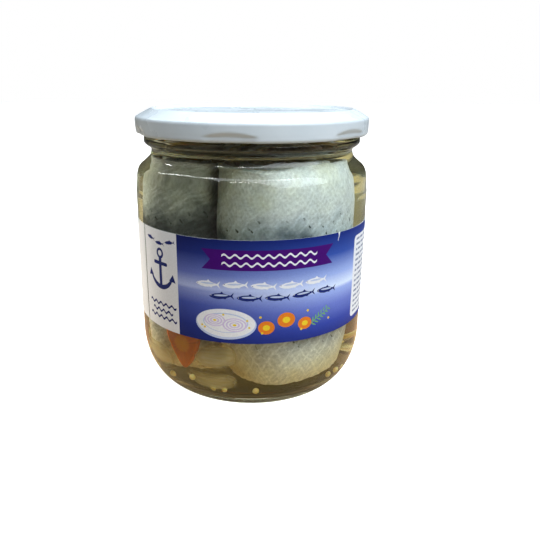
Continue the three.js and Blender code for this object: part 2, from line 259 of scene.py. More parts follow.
def glass_reach(degrees, radius, height):
    """Adds the threads and the two seams to the outside of the glass, and unevenness to its inside."""
    if radius < 1:
        return radius
    outside = radius > BODY_RADIUS - 1.5 or (height > 84 and radius > NECK_RADIUS - 0.1)
    if not outside:
        waver = noise.noise(Vector(on_jar(degrees, radius, height)) / (WAVER_LENGTH * MM))
        return radius + WAVER_DEPTH * waver * smoothstep(height, 16, 30) * (1 - smoothstep(height, 76, 86))
    if abs(radius - FINISH_RADIUS) < 0.01:
        along = from_nearest(degrees, FIRST_LUG, 360 / LUGS) / (THREAD_SPAN / 2)
        middle = THREAD_HEIGHT - THREAD_FALL * 0.5 * along
        rise = 1 - smoothstep(abs(height - middle), 0.2, 1.1)
        return radius + THREAD_DEPTH * rise * max(0, 1 - along * along)
    off_seam = math.radians(from_nearest(degrees, SEAM_ANGLE, 180)) * radius
    return radius + SEAM_DEPTH * math.exp(-((off_seam / SEAM_WIDTH) ** 2))


BRINE_LEVEL = 90.2
glass_jar = turned("glass_jar", jar_outside + jar_inside, dry_glass, reach=glass_reach)
glass_jar.data.materials.append(wet_glass)
for face in glass_jar.data.polygons:
    spot = face.center / MM
    facing_in = face.normal.xy.dot(spot.xy) < 0 or (face.normal.z > 0 and spot.z < INNER_HEEL_HEIGHT)
    if facing_in and spot.z < BRINE_LEVEL:
        face.material_index = 1
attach(glass_jar, "root")
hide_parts("jar_glass")

# The brine
# Vinegar, water and sugar, clear but stained a pale olive yellow by fish, onion and mustard. It stands up
# to the neck, climbs a little at the glass, and reaches just into the wall so that no air shows between.

MENISCUS = 1.1
MENISCUS_WIDTH = 3.4
MENISCUS_FALL = 4.2
WETTING = 0.05

# Weak vinegar bends light like water. Its colour comes from depth: 80 mm of it takes a fifth of the red and
# more than half of the blue. The side at the glass has no surface of its own, as the glass has that step.
def stained_brine(name, ior):
    made, add = new_material(name)
    liquid = add("BsdfPrincipled", {
        "Base Color": linear("#ffffff"), "Roughness": 0.0, "IOR": ior, "Transmission Weight": 1.0,
    })
    stain = add("VolumeAbsorption", {"Color": linear("#eddf96"), "Density": 16.0})
    add("OutputMaterial", {"Surface": clear_shader(add, liquid, "#ffffff"), "Volume": stain})
    return made


brine_side = stained_brine("stained vinegar brine", 1.001)
brine_surface = stained_brine("stained vinegar brine, open surface", BRINE_IOR)

wetted = [(r + WETTING if r else 0, z - WETTING) for r, z in jar_inside if z < BRINE_LEVEL]
brine_top = []
for t in np.linspace(0, 1, 10):
    climb = MENISCUS * math.exp(-MENISCUS_FALL * t)
    brine_top.append((INNER_NECK_RADIUS + WETTING - MENISCUS_WIDTH * t, BRINE_LEVEL + climb))
brine = turned("brine", [(0, BRINE_LEVEL), *reversed(brine_top), *wetted][::-1], brine_side)
brine.data.materials.append(brine_surface)
for face in brine.data.polygons:
    if face.center.z > BRINE_LEVEL * MM and face.normal.z > 0.3:
        face.material_index = 1
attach(brine, "root")

# The rolled fillets
# Boned butterfly fillets of herring, skin outwards, rolled up and stood on end against the glass. Vinegar
# has firmed them: the back is dark blue green, the flanks are silver with a lattice of scale pockets, and
# the thin belly edges at the top and bottom of each roll are almost white.

WALL_CLEARANCE = 0.4
PIECE_CLEARANCE = 0.4
SQUEEZE = 2.5
ROLL_TURNS = 2.1
END_THICKNESS = 0.3
LAP = 0.18
UPPER_DRAW = 0.05
LOWER_DRAW = 0.2
EDGE_THINNING = 0.4
ROLLS = {
    "roll_front": dict(centre=(10.6, -16.4), radius=22, bottom=11.5, top=85, thickness=7.6, end=150),
    "roll_left": dict(centre=(-17.8, -5.6), radius=15, bottom=9.8, top=84.6, thickness=5.6, end=65),
    "roll_back": dict(centre=(-2, 19.5), radius=19, bottom=22, top=83.4, thickness=6.4, end=-60),
}
FILLET_STEPS = 250
SKIN_ROWS = 44
FLESH_ROWS = 18
EDGE_REACH = 0.985
COARSE_NICKS = 0.7
FINE_NICKS = 0.35
DENTS = 0.5

inside_heights = [z for _, z in reversed(jar_inside)]
inside_radii = [r for r, _ in reversed(jar_inside)]


def pressed(distance, limit, soft):
    """Presses distances back so that they stay below a limit, more softly the nearer they come."""
    start = limit - soft
    give = soft * (1 - np.exp((start - np.maximum(distance, start)) / soft))
    return np.where(distance <= start, distance, start + give)


def squeezed(points, name):
    """Squeezes points of a roll, in mm, against the wall of the jar and against the rolls beside it."""
    roll = ROLLS[name]
    own = np.array(roll["centre"], float)
    flat = points[:, :2].copy()
    for other_name, other in ROLLS.items():
        if other_name == name:
            continue
        towards = np.array(other["centre"], float) - own
        between = np.hypot(*towards)
        towards /= between
        border = (between**2 + roll["radius"] ** 2 - other["radius"] ** 2) / (2 * between)
        along = (flat - own) @ towards
        pushed = pressed(along, border - PIECE_CLEARANCE / 2, SQUEEZE)
        flat += (pushed - along)[:, None] * towards
    radius = np.hypot(*flat.T)
    limit = np.interp(points[:, 2], inside_heights, inside_radii) - WALL_CLEARANCE
    flat *= (pressed(radius, limit, SQUEEZE) / radius)[:, None]
    return np.column_stack([flat, points[:, 2]])


def band_faces(steps, loop):
    """The faces of a band made of sections with the same number of points, closed at both ends."""
    faces = []
    for i in range(steps):
        for j in range(loop):
            a, b = i * loop + j, i * loop + (j + 1) % loop
            faces.append([a, a + loop, b + loop, b])
    faces.append(list(range(loop)))
    faces.append([steps * loop + j for j in reversed(range(loop))])
    return faces


def lay_map(piece, name, pairs):
    """Gives a piece a UV map from a pair of values for each of its vertices."""
    corners = np.empty(len(piece.data.loops), int)
    piece.data.loops.foreach_get("vertex_index", corners)
    new_map = piece.data.uv_layers.new(name=name)
    new_map.data.foreach_set("uv", pairs[corners].ravel().astype(np.float32))


def fillet_roll(name, materials):
    """A rolled fillet as a band with a rounded section, thin at its edges, with a map in mm of its skin."""
    roll = ROLLS[name]
    middle = (roll["bottom"] + roll["top"]) / 2
    half = (roll["top"] - roll["bottom"]) / 2

    def flesh(turn):
        taper = min(smoothstep(turn, 0, 0.4), smoothstep(ROLL_TURNS - turn, 0, 0.35))
        return roll["thickness"] * (END_THICKNESS + (1 - END_THICKNESS) * taper)

    def skin(turn):
        if turn >= 1:
            return skin(turn - 1) - flesh(turn - 1) - PIECE_CLEARANCE
        return roll["radius"] - (flesh(0) + PIECE_CLEARANCE) * smoothstep(turn, 1 - LAP, 1)

    skin_w = np.sin(np.linspace(-math.pi / 2, math.pi / 2, SKIN_ROWS)) * EDGE_REACH
    flesh_w = np.sin(np.linspace(math.pi / 2, -math.pi / 2, FLESH_ROWS)) * EDGE_REACH
    w = np.concatenate([skin_w, [1], flesh_w, [-1]])
    loop = len(w)
    verts = []
    for step in range(FILLET_STEPS + 1):
        turn = step / FILLET_STEPS * ROLL_TURNS
        angle = math.radians(roll["end"]) + turn * 2 * math.pi
        # Both edges wave slowly and creep from turn to turn, and small nicks make them ragged.
        upper = 0.9 * math.sin(2.1 * angle + roll["end"]) + 0.8 * turn
        lower = 1.1 * math.sin(1.7 * angle - roll["end"]) - 0.5 * turn
        ragged = noise.noise(Vector((turn * 22, roll["end"], 0))) * COARSE_NICKS
        ragged += noise.noise(Vector((turn * 75, roll["end"], 3))) * FINE_NICKS
        edge_shift = np.where(w > 0, w * upper, -w * lower) + ragged * np.abs(w) ** 6
        outer = skin(turn) * (1 - np.where(w > 0, UPPER_DRAW, LOWER_DRAW) * w**4)
        inner = outer - flesh(turn) * (1 - EDGE_THINNING * w**4)
        reach = np.where(np.arange(loop) < SKIN_ROWS, outer, inner)
        reach[SKIN_ROWS] = (outer[SKIN_ROWS] + inner[SKIN_ROWS]) / 2
        reach[-1] = (outer[-1] + inner[-1]) / 2
        x = roll["centre"][0] + reach * math.sin(angle)
        y = roll["centre"][1] - reach * math.cos(angle)
        z = middle + w * half + edge_shift
        wobble = [noise.noise(Vector((turn * 9, v * 3.2, roll["end"]))) for v in w]
        dents = np.array(wobble) * DENTS
        x -= dents * math.sin(angle)
        y += dents * math.cos(angle)
        verts.append(squeezed(np.column_stack([x, y, z]), name))
    grid = np.array(verts)
    piece = add_piece(name, grid.reshape(-1, 3) * MM, band_faces(FILLET_STEPS, loop), materials, crease=70)
    sides = [0 if j < SKIN_ROWS else 1 for j in range(loop)] * FILLET_STEPS + [1, 1]
    piece.data.polygons.foreach_set("material_index", sides)
    middle_row = grid[:, SKIN_ROWS // 2, :2]
    run = np.concatenate([[0], np.cumsum(np.hypot(*np.diff(middle_row, axis=0).T))])
    across_skin = np.tile(w * half, FILLET_STEPS + 1)
    lay_map(piece, "skin_mm", np.column_stack([np.repeat(run, loop), across_skin]))
    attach(piece, "root")
    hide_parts(name)


# Vinegar leaves the skin silvery and dull: no loose scales, only the net of their pockets, some 4 mm apart,
# within it a finer net, and soft glints of guanine, drawn as painted glints: pale patches in the colour
# near the belly edges. A row of short dark strokes runs where the back meets the flank. The skin of the
# back roll is painted paler in its middle, as painted light on a roll that sits in shade.
SCALE_PITCH = 3.9
FINE_PITCH = 1.4
SLANT = 38
STREAK_SLANT = -24
BACK_TO_BELLY = 38
STAIN_FROM = -18
STAIN_FULL = -34
WAVE_UNIT = math.pi / 10  # a wave texture of this scale repeats once a unit


def herring_skin(name, across_stops, glint, seed, streaks):
    """across_stops are the colours from the middle of the back, 0, to the belly edge, 1. seed shifts the
    pattern along the skin, and streaks is how bright the pale strokes are that the knife left where it
    pressed."""
    made, add = new_material(name)
    skin_at = add("UVMap", uv_map="skin_mm")
    place = add("VectorMath", {0: skin_at, 1: (seed, 0, 0)})
    warp = add("TexNoise", {"Vector": place, "Scale": 0.11, "Detail": 2.0})
    warped = add(
        "VectorMath", {0: warp.outputs["Color"], 1: (4, 4, 0), 2: place}, operation="MULTIPLY_ADD",
    )
    nets = []
    for pitch in (SCALE_PITCH, SCALE_PITCH, FINE_PITCH, FINE_PITCH):
        slant = math.radians(SLANT if len(nets) % 2 else -SLANT)
        leaning = add("Mapping", {0: warped, "Rotation": (0, 0, slant)})
        wave = {"Vector": leaning, "Scale": WAVE_UNIT / pitch}
        nets.append(add("TexWave", wave, wave_profile="TRI").outputs["Fac"])
    pockets = add("Math", {0: nets[0], 1: nets[1]}, operation="MINIMUM")
    fine = add("Math", {0: nets[2], 1: nets[3]}, operation="MINIMUM")

    across = add("SeparateXYZ", {0: skin_at}).outputs[1]
    distance = add("Math", {0: across}, operation="ABSOLUTE")
    blotch = add("TexNoise", {"Vector": place, "Scale": 0.09, "Detail": 3.0})
    uneven = add("MapRange", {0: blotch, 1: 0.3, 2: 0.7, 3: -0.12, 4: 0.12})
    share = add("Math", {0: distance, 1: 1 / BACK_TO_BELLY, 2: uneven}, operation="MULTIPLY_ADD")
    base = add("ValToRGB", {0: share}, stops=across_stops)

    grain = add("TexNoise", {"Vector": place, "Scale": 0.9, "Detail": 5.0, "Roughness": 0.6})
    mottled = add("MapRange", {0: grain, 1: 0.3, 2: 0.7, 3: 0.8, 4: 1.17})
    leaning = add("Mapping", {0: warped, "Rotation": (0, 0, math.radians(STREAK_SLANT))})
    drawn = add("VectorMath", {0: leaning, 1: (0.22, 1, 1)}, operation="MULTIPLY")
    streak = add("TexNoise", {"Vector": drawn, "Scale": 0.9, "Detail": 4.0})
    streaky = add("MapRange", {0: streak, 1: 0.38, 2: 0.68, 3: 0.88, 4: streaks})
    netted = add("MapRange", {0: fine, 1: 0.0, 2: 0.6, 3: 1.06, 4: 0.96})
    below = add("Math", {0: across, 1: 0.0}, operation="LESS_THAN")
    line = add("Math", {0: below, 1: 0.08, 2: 1.16}, operation="MULTIPLY_ADD")
    cell = add("Math", {0: below, 1: -0.09, 2: 0.97}, operation="MULTIPLY_ADD")
    on_back = add("MapRange", {0: share, 1: 0.5, 2: 0.78, 3: line, 4: 1.0})
    net_shades = {0: pockets, 1: 0.0, 2: 0.3, 3: on_back, 4: cell}
    pocketed = add("MapRange", net_shades)
    shade = mottled
    for factor in (streaky, netted, pocketed):
        shade = add("Math", {0: shade, 1: factor}, operation="MULTIPLY")
    shaded = add("VectorMath", {0: base, "Scale": shade}, operation="SCALE")

    # Painted glints: pale patches of the glint colour, towards the belly edges, stand in for the shine of
    # guanine.
    patches = add("TexNoise", {"Vector": place, "Scale": 0.06, "Detail": 4.0})
    belly = add("MapRange", {0: share, 1: 0.55, 2: 0.85})
    pearl = add("MapRange", {0: patches, 1: 0.45, 2: 0.65, 4: 0.4})
    pearl = add("Math", {0: pearl, 1: belly}, operation="MULTIPLY")
    pearly = add("Mix", {0: pearl, 6: shaded, 7: linear(glint)}, data_type="RGBA")
    # The lower part of each roll is tinted warmer and a little darker, blending in from 18 to 34 mm below
    # its middle.
    low = add("MapRange", {0: across, 1: STAIN_FROM, 2: STAIN_FULL})
    stain = {0: low, 6: pearly.outputs[2], 7: linear("#f2e4c4")}
    pearly = add("Mix", stain, data_type="RGBA", blend_type="MULTIPLY")

    stroke = add("MapRange", {0: nets[0], 1: 0.1, 2: 0.22, 3: 1.0, 4: 0.0})
    short = add("MapRange", {0: nets[1], 1: 0.5, 2: 0.6})
    row = add("ValToRGB", {0: share}, stops=[(0.44, "#000000"), (0.5, "#ffffff"), (0.62, "#000000")])
    some = add("MapRange", {0: grain, 1: 0.4, 2: 0.5})
    for mask in (short, row, some):
        stroke = add("Math", {0: stroke, 1: mask}, operation="MULTIPLY")
    marked = add("Mix", {0: stroke, 6: pearly.outputs[2], 7: linear("#1c2327")}, data_type="RGBA")

    height = add("Math", {0: pockets, 1: 0.7, 2: grain}, operation="MULTIPLY_ADD")
    relief = add("Bump", {"Strength": 0.4, "Distance": 0.25 * MM, "Height": height})
    shader = add("BsdfPrincipled", {
        "Base Color": marked.outputs[2], "Metallic": 0.12, "Roughness": 0.4, "IOR": 1.38,
        "Specular IOR Level": 0.3, "Subsurface Weight": 0.25, "Subsurface Radius": (1.0, 0.85, 0.7),
        "Subsurface Scale": 1.5 * MM, "Normal": relief,
    })
    add("OutputMaterial", {"Surface": shader})
    return made


bright_skin = herring_skin("silver herring skin", [
    (0.0, "#3f4a55"), (0.34, "#5d6876"), (0.5, "#cad0de"), (0.62, "#e9ebf6"), (0.8, "#f4f6fd"),
    (1.0, "#f6f5f6"),
], "#f4f2d4", 0, 1.05)
# The left roll's skin is darker: partly its own dark back, partly painted shade, as the roll sits in shadow
# on the left.
dark_skin = herring_skin("dark herring skin", [
    (0.0, "#2c3238"), (0.44, "#484d55"), (0.56, "#8c9099"), (0.68, "#cacbd4"), (1.0, "#e8e7ee"),
], "#ccd0bc", 130, 1.4)
# The back roll's skin is painted paler in its middle, as painted light, since the roll sits in shade.
pale_skin = herring_skin(
    "pale herring skin", [(0.0, "#9a9fba"), (0.5, "#c2c7d8"), (0.8, "#e6e8f2"), (1.0, "#f0f1f6")],
    "#f0f0e0", 60, 1.05,
)

# The cut side of the fillet is pale pinkish grey, opaque from the acid, with a fine grain of muscle.
herring_flesh, add = new_material("pickled herring flesh")
place = add("TexCoord").outputs["Object"]
fibre = add("Mapping", {0: place, "Scale": (1, 1, 0.25)})
grain = add("TexNoise", {"Vector": fibre, "Scale": 1 / (1.5 * MM), "Detail": 3.0})
flesh_colour = add("ValToRGB", {0: grain}, stops=[(0.3, "#a99c8a"), (0.7, "#d8cfbf")])
relief = add("Bump", {"Strength": 0.4, "Distance": 0.4 * MM, "Height": grain})
shader = add("BsdfPrincipled", {
    "Base Color": flesh_colour, "Roughness": 0.45, "IOR": 1.38, "Specular IOR Level": 0.2,
    "Subsurface Weight": 0.3, "Subsurface Radius": (1.0, 0.7, 0.5), "Subsurface Scale": 1.5 * MM,
    "Normal": relief,
})
add("OutputMaterial", {"Surface": shader})

fillet_roll("roll_front", [bright_skin, herring_flesh])
fillet_roll("roll_left", [dark_skin, herring_flesh])
fillet_roll("roll_back", [pale_skin, herring_flesh])

# The carrot slices
# Carrot cut across in slices about 4 mm thick, with their edges softened by the vinegar. The core is paler
# than the flesh round it, and fine rays run out from it.


def capped_faces(rings, sides):
    """The faces of a round body: a first vertex, rings of vertices and a last vertex."""
    last = 1 + rings * sides
    faces = []
    for i in range(sides):
        j = (i + 1) % sides
        faces.append([0, 1 + j, 1 + i])
        for a in range(1, last - sides, sides):
            faces.append([a + i, a + j, a + sides + j, a + sides + i])
        faces.append([last - sides + i, last - sides + j, last])
    return faces


def set_in_jar(piece, name, slot, degrees, out, height, turn):
    """Places garnish by its angle round the jar, its distance from the axis and its height, and by its
    turns in degrees about the lines that point outwards, along the wall and up."""
    tilt = Matrix.Rotation(math.radians(turn[2]), 4, "Z")
    tilt @= Matrix.Rotation(math.radians(turn[1]), 4, "Y")
    tilt @= Matrix.Rotation(math.radians(turn[0]), 4, "X")
    spot = Matrix.Rotation(math.radians(degrees - 90), 4, "Z")
    piece.matrix_world = spot @ Matrix.Translation((out * MM, 0, height * MM)) @ tilt
    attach(piece, "root")
    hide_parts(name)


def carrot_slice(name, half_length, half_width, thickness, narrowing, where):
    """A slice cut a little out of round. One cut on the slant near the root's tip is longer than wide and
    narrows along +X."""
    rounding = 0.8
    rim = arc((0, 0), rounding, rounding, -90, 90, 6)
    flat = np.linspace(0, 1, 9)[1:-1]
    section = [(t, 0, -thickness / 2) for t in flat]
    section += [(1, r - rounding, z + (thickness / 2 - rounding) * (1 if z > 0 else -1)) for r, z in rim]
    section += [(t, 0, thickness / 2) for t in reversed(flat)]
    count = 72
    verts = [(0, 0, -thickness / 2 * MM)]
    for share, inset, z in section:
        for i in range(count):
            turn = 2 * math.pi * i / count
            c, s = math.cos(turn), math.sin(turn)
            lobe = 1 + 0.04 * math.sin(2 * turn) + 0.03 * math.sin(3 * turn + 1)
            lobe += 0.012 * noise.noise(Vector((c * 4, s * 4, half_length)))
            x = (half_length * lobe * share + inset) * c
            y = (half_width * (1 - narrowing * c) * lobe * share + inset) * s
            cup = 0.22 * noise.noise(Vector((x / 4, y / 4, half_length)))
            verts.append((x * MM, y * MM, (z * 0.94 + cup) * MM))
    verts.append((0, 0, thickness / 2 * MM))
    piece = add_piece(name, verts, capped_faces(len(section), count), [pickled_carrot], crease=60)
    set_in_jar(piece, name, "carrot", *where)


pickled_carrot, add = new_material("pickled carrot")
place = add("TexCoord").outputs["Object"]
flat = add("VectorMath", {0: place, 1: (1, 1, 0)}, operation="MULTIPLY")
reach = add("VectorMath", {0: flat}, operation="LENGTH").outputs["Value"]
blur = add("TexNoise", {"Vector": place, "Scale": 1 / (2 * MM), "Detail": 3.0})
spread = add("Math", {0: blur, 1: 1.2 * MM, 2: reach}, operation="MULTIPLY_ADD")
share = add("MapRange", {0: spread, 2: 9.5 * MM})
rings = add("ValToRGB", {0: share}, stops=[
    (0.0, "#d68e12"), (0.36, "#d07e00"), (0.44, "#c46400"), (0.9, "#c86a00"), (1.0, "#ae5400"),
])
rays = add("TexGradient", {0: flat}, gradient_type="RADIAL")
ray_noise = add("TexNoise", {"W": rays, "Scale": 42.0, "Detail": 2.0}, noise_dimensions="1D")
shade = add("MapRange", {0: ray_noise, 1: 0.3, 2: 0.7, 3: 0.86, 4: 1.1})
colour = add("VectorMath", {0: rings, "Scale": shade}, operation="SCALE")
relief = add("Bump", {"Strength": 0.4, "Distance": 0.3 * MM, "Height": blur})
shader = add("BsdfPrincipled", {
    "Base Color": colour, "Roughness": 0.4, "IOR": 1.36, "Specular IOR Level": 0.1,
    "Subsurface Weight": 0.35, "Subsurface Radius": (1.0, 0.45, 0.2), "Subsurface Scale": 2.0 * MM,
    "Normal": relief,
})
add("OutputMaterial", {"Surface": shader})

carrot_slice("carrot_front", 9.2, 5.8, 3.8, 0.4, (-39.5, 35, 23.5, (0, 94, 8)))
carrot_slice("carrot_left", 8.4, 8.4, 4, 0, (-102, 34.4, 17, (0, 100, 10)))
carrot_slice("carrot_back", 7, 7, 4.2, 0, (180, 28, 13.2, (0, 36, 12)))

# The onion
# Slivers of single layers of white onion: short arcs, widest near their middle and thin at both ends.
# Pickled onion is half clear, with fine veins along the layer and a thin skin that shines.

SLIVER_END = 0.15
SLIVER_FULLNESS = 2.4
SLIVER_SOFTNESS = 0.7
SLIVER_LEAN = 0.22
SLIVER_SWAY = 0.05


def onion_sliver(name, radius, span, thickness, width, where):
    steps, sides = 48, 20
    around = np.linspace(0, 2 * math.pi, sides, endpoint=False)
    out = np.sign(np.cos(around)) * np.abs(np.cos(around)) ** SLIVER_SOFTNESS
    up = np.sign(np.sin(around)) * np.abs(np.sin(around)) ** SLIVER_SOFTNESS
    verts, shares = [], []
    for t in np.linspace(-1, 1, steps + 1):
        turn = math.radians(span) / 2 * t
        body = SLIVER_END + (1 - SLIVER_END) * math.sqrt(1 - abs(t) ** SLIVER_FULLNESS)
        wide = body * (1 + SLIVER_LEAN * t) * width / 2
        reach = radius - thickness / 2 + (1 + body) / 2 * thickness / 2 * out
        rise = wide * up + SLIVER_SWAY * width * math.sin(3 * t)
        x, y = reach * math.cos(turn) - radius, reach * math.sin(turn)
        verts.append(np.column_stack([x, y, rise]) * MM)
        shares.append((body - SLIVER_END) / (1 - SLIVER_END) * (1 - up**2))
    faces = band_faces(steps, sides)
    piece = add_piece(name, np.concatenate(verts), faces, [pickled_onion], crease=60)
    shares = np.concatenate(shares)
    lay_map(piece, "thickness", np.column_stack([shares, shares]))
    set_in_jar(piece, name, "onion", *where)


pickled_onion, add = new_material("pickled white onion")
place = add("TexCoord").outputs["Object"]
veins = add("Mapping", {0: place, "Scale": (1, 0.12, 1)})
vein = add("TexNoise", {"Vector": veins, "Scale": 1 / (1.1 * MM), "Detail": 2.0})
colour = add("ValToRGB", {0: vein}, stops=[(0.3, "#d0c3a2"), (0.7, "#e4dbc4")])
relief = add("Bump", {"Strength": 0.3, "Distance": 0.2 * MM, "Height": vein})
body = add("BsdfPrincipled", {
    "Base Color": colour, "Roughness": 0.45, "IOR": 1.37, "Specular IOR Level": 0.2,
    "Subsurface Weight": 0.6, "Subsurface Radius": (1.0, 0.9, 0.6), "Subsurface Scale": 3.0 * MM,
    "Normal": relief,
})
glow = add("BsdfTranslucent", {"Color": colour})
shown = add("MixShader", {0: 0.5, 1: body, 2: glow})
see_through = add("BsdfTransparent", {"Color": linear("#fdfaf0")})
thickness = add("SeparateXYZ", {0: add("UVMap", uv_map="thickness")})
cloud = add("TexNoise", {"Vector": place, "Scale": 1 / (4 * MM), "Detail": 2.0})
uneven = add("Math", {0: cloud, 1: 0.5, 2: thickness}, operation="MULTIPLY_ADD")
clear = add("MapRange", {0: uneven, 1: 0.25, 2: 1.1, 3: 1.0, 4: 0.45})
shader = add("MixShader", {0: clear, 1: shown, 2: see_through})
add("OutputMaterial", {"Surface": shader})

onion_sliver("onion_front", 24, 38, 2.4, 9.4, (-19, 38.8, 21.4, (5, 0, 0)))
onion_sliver("onion_low", 22, 54, 2.4, 8.4, (-23.5, 35.6, 10.4, (0, 36, -4)))
onion_sliver("onion_left", 24, 44, 2.4, 10, (-62, 37, 15, (-6, 30, 0)))
onion_sliver("onion_back", 21, 66, 2.6, 12, (112, 38, 20, (6, 0, 0)))
onion_sliver("onion_middle", 13, 100, 2.4, 10, (-140, 25, 13, (0, 0, 20)))

# The mustard seeds
# Yellow mustard seeds about 2 mm across that came with the brine. Most have sunk to the heel of the jar,
# where they lie loose. One mesh holds them all.

random.seed(4)
SEED_SIZE = 2.3
SEEDS_ROUND_HEEL = 34
SEEDS_START, SEEDS_SPAN = 62, 250
SEED_LIFTS = (-86, -52)
FRONT_SEEDS = [(-33, -40), (-22, -62), (-15.5, -63), (3, -68)]  # degrees round the jar and down the heel


def ball_corners(rows, sides):
    """The corners of a small ball, from its lowest to its highest."""
    corners = [(0, 0, -1)]
    for i in range(1, rows):
        lift = math.pi * i / rows
        for j in range(sides):
            turn = 2 * math.pi * j / sides
            x, y = math.sin(lift) * math.cos(turn), math.sin(lift) * math.sin(turn)
            corners.append((x, y, -math.cos(lift)))
    return np.array(corners + [(0, 0, 1)])


ball = ball_corners(7, 10)
ball_faces = capped_faces(6, 10)
seed_verts, seed_faces = [], []
seed_places = []
for i in range(SEEDS_ROUND_HEEL):
    degrees = SEEDS_START + SEEDS_SPAN * i / SEEDS_ROUND_HEEL + random.uniform(-4, 4)
    seed_places.append((degrees, random.uniform(*SEED_LIFTS)))
for degrees, lift in FRONT_SEEDS + seed_places:
    size = SEED_SIZE / 2 * random.uniform(0.85, 1.1)
    reach = FLOOR_RADIUS + (BODY_RADIUS - WALL - FLOOR_RADIUS - size - 0.1) * math.cos(math.radians(lift))
    drop = INNER_HEEL_HEIGHT - FLOOR_HEIGHT - size - 0.1
    height = INNER_HEEL_HEIGHT + drop * math.sin(math.radians(lift))
    squash = np.array([random.uniform(0.88, 1.0), random.uniform(0.9, 1.0), 1.0]) * size
    turn = Matrix.Rotation(random.uniform(0, 6.3), 3, (random.random(), random.random(), 0.4))
    spot = np.array(on_jar(degrees, reach, height))
    start = len(seed_verts)
    seed_verts += [Vector(spot) + turn @ Vector(p * squash * MM) for p in ball]
    seed_faces += [[start + k for k in face] for face in ball_faces]

# A ripe seed's coat is dull straw yellow, a little different from seed to seed and minutely pitted.
mustard_seed, add = new_material("yellow mustard seed")
place = add("TexCoord").outputs["Object"]
tone = add("TexNoise", {"Vector": place, "Scale": 1 / (3 * MM), "Detail": 1.0})
colour = add("ValToRGB", {0: tone}, stops=[(0.3, "#cfb060"), (0.7, "#f2e3a4")])
pits = add("TexNoise", {"Vector": place, "Scale": 1 / (0.25 * MM), "Detail": 1.0})
relief = add("Bump", {"Strength": 0.3, "Distance": 0.1 * MM, "Height": pits})
shader = add("BsdfPrincipled", {
    "Base Color": colour, "Roughness": 0.45, "IOR": 1.45, "Subsurface Weight": 0.2,
    "Subsurface Scale": 0.6 * MM, "Normal": relief,
})
add("OutputMaterial", {"Surface": shader})
seeds = add_piece("mustard_seeds", seed_verts, seed_faces, [mustard_seed])
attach(seeds, "root")

# The lid
# A twist-off lid pressed from tinplate and stoved with white enamel. Its middle is sunk inside a low ring,
# a cone joins the ring to the skirt, and the skirt's rolled edge is pushed in at six places for the lugs.

LID_RADIUS = 42.2
LID_BOTTOM = 94.8
LID_TOP = 103.5
LID_SHEET = 0.5
SKIRT_TOP = 100.1
SLOPE_BOTTOM = 101.2
RING_OUTER = 37
RING_INNER = 35.9
PANEL_RADIUS = 35
PANEL_DEPTH = 0.8
CURL_DEPTH = 1.9
LUG_SPAN = 23
LUG_DENT = 0.9
LUG_RISE = 1.6

panel_top = LID_TOP - PANEL_DEPTH
curl_top = LID_BOTTOM + CURL_DEPTH
skirt = LID_RADIUS - LID_SHEET
lid_outside = [
    *smooth_line([
        (LID_RADIUS - 0.7, LID_BOTTOM), (LID_RADIUS - 0.2, LID_BOTTOM + 0.6),
        (LID_RADIUS - 0.1, curl_top),
    ], 7),
    *smooth_line([(LID_RADIUS - 0.06, curl_top + 0.4), (LID_RADIUS, SKIRT_TOP - 0.3)], 9),
    *smooth_line([
        (LID_RADIUS, SKIRT_TOP), (LID_RADIUS - 0.3, SKIRT_TOP + 0.7), (LID_RADIUS - 1, SLOPE_BOTTOM),
        (LID_RADIUS - 2.4, SLOPE_BOTTOM + 0.75), (RING_OUTER + 0.6, LID_TOP - 0.4),
        (RING_OUTER, LID_TOP - 0.09), ((RING_OUTER + RING_INNER) / 2, LID_TOP),
        (RING_INNER, LID_TOP - 0.12), (PANEL_RADIUS, panel_top),
    ], 30),
    *smooth_line([(PANEL_RADIUS - 0.6, panel_top), (4, panel_top)], 12), (0, panel_top),
]
lid_inside = [
    (0, panel_top - LID_SHEET),
    *smooth_line([(4, panel_top - LID_SHEET), (PANEL_RADIUS, panel_top - LID_SHEET)], 10),
    (RING_INNER, LID_TOP - LID_SHEET), (RING_OUTER - 0.2, LID_TOP - LID_SHEET),
    *smooth_line([
        (skirt - 0.8, SLOPE_BOTTOM - LID_SHEET), (skirt, SKIRT_TOP - 0.3), (skirt - 0.1, curl_top + 0.6),
    ], 9),
    (skirt - 0.1, curl_top + 0.3),
    *smooth_line([
        (skirt - 0.5, curl_top), (skirt - 1.2, curl_top), (skirt - 1.6, LID_BOTTOM + CURL_DEPTH / 2),
        (skirt - 1.1, LID_BOTTOM),
    ], 9),
]


def lid_reach(degrees, radius, height):
    """Pushes the rolled edge in at each lug."""
    if radius < RING_OUTER + 2:
        return radius
    along = from_nearest(degrees, FIRST_LUG, 360 / LUGS) / (LUG_SPAN / 2)
    if abs(along) >= 1:
        return radius
    reach = curl_top + LUG_RISE * (1 - along * along)
    fade = 1 - smoothstep(height, curl_top - 0.4, reach)
    return radius - LUG_DENT * fade * (1 - along**4)


# Stoved enamel is hard and glossy, cold white, with the faint orange peel of a rolled coat some 1.5 mm
# long.
stoved_enamel, add = new_material("white stoved enamel")
place = add("TexCoord").outputs["Object"]
peel = add("TexNoise", {"Vector": place, "Scale": 1 / (1.5 * MM), "Detail": 1.0})
cloud = add("TexNoise", {"Vector": place, "Scale": 1 / (14 * MM), "Detail": 4.0})
colour = add("ValToRGB", {0: cloud}, stops=[(0.3, "#cad6dd"), (0.7, "#d6e0e5")])
gloss = add("MapRange", {0: cloud, 1: 0.3, 2: 0.7, 3: 0.24, 4: 0.34})
relief = add("Bump", {"Strength": 0.25, "Distance": 0.05 * MM, "Height": peel})
shader = add("BsdfPrincipled", {
    "Base Color": colour, "Roughness": gloss, "IOR": 1.5, "Coat Weight": 0.25, "Coat Roughness": 0.12,
    "Normal": relief,
})
add("OutputMaterial", {"Surface": shader})
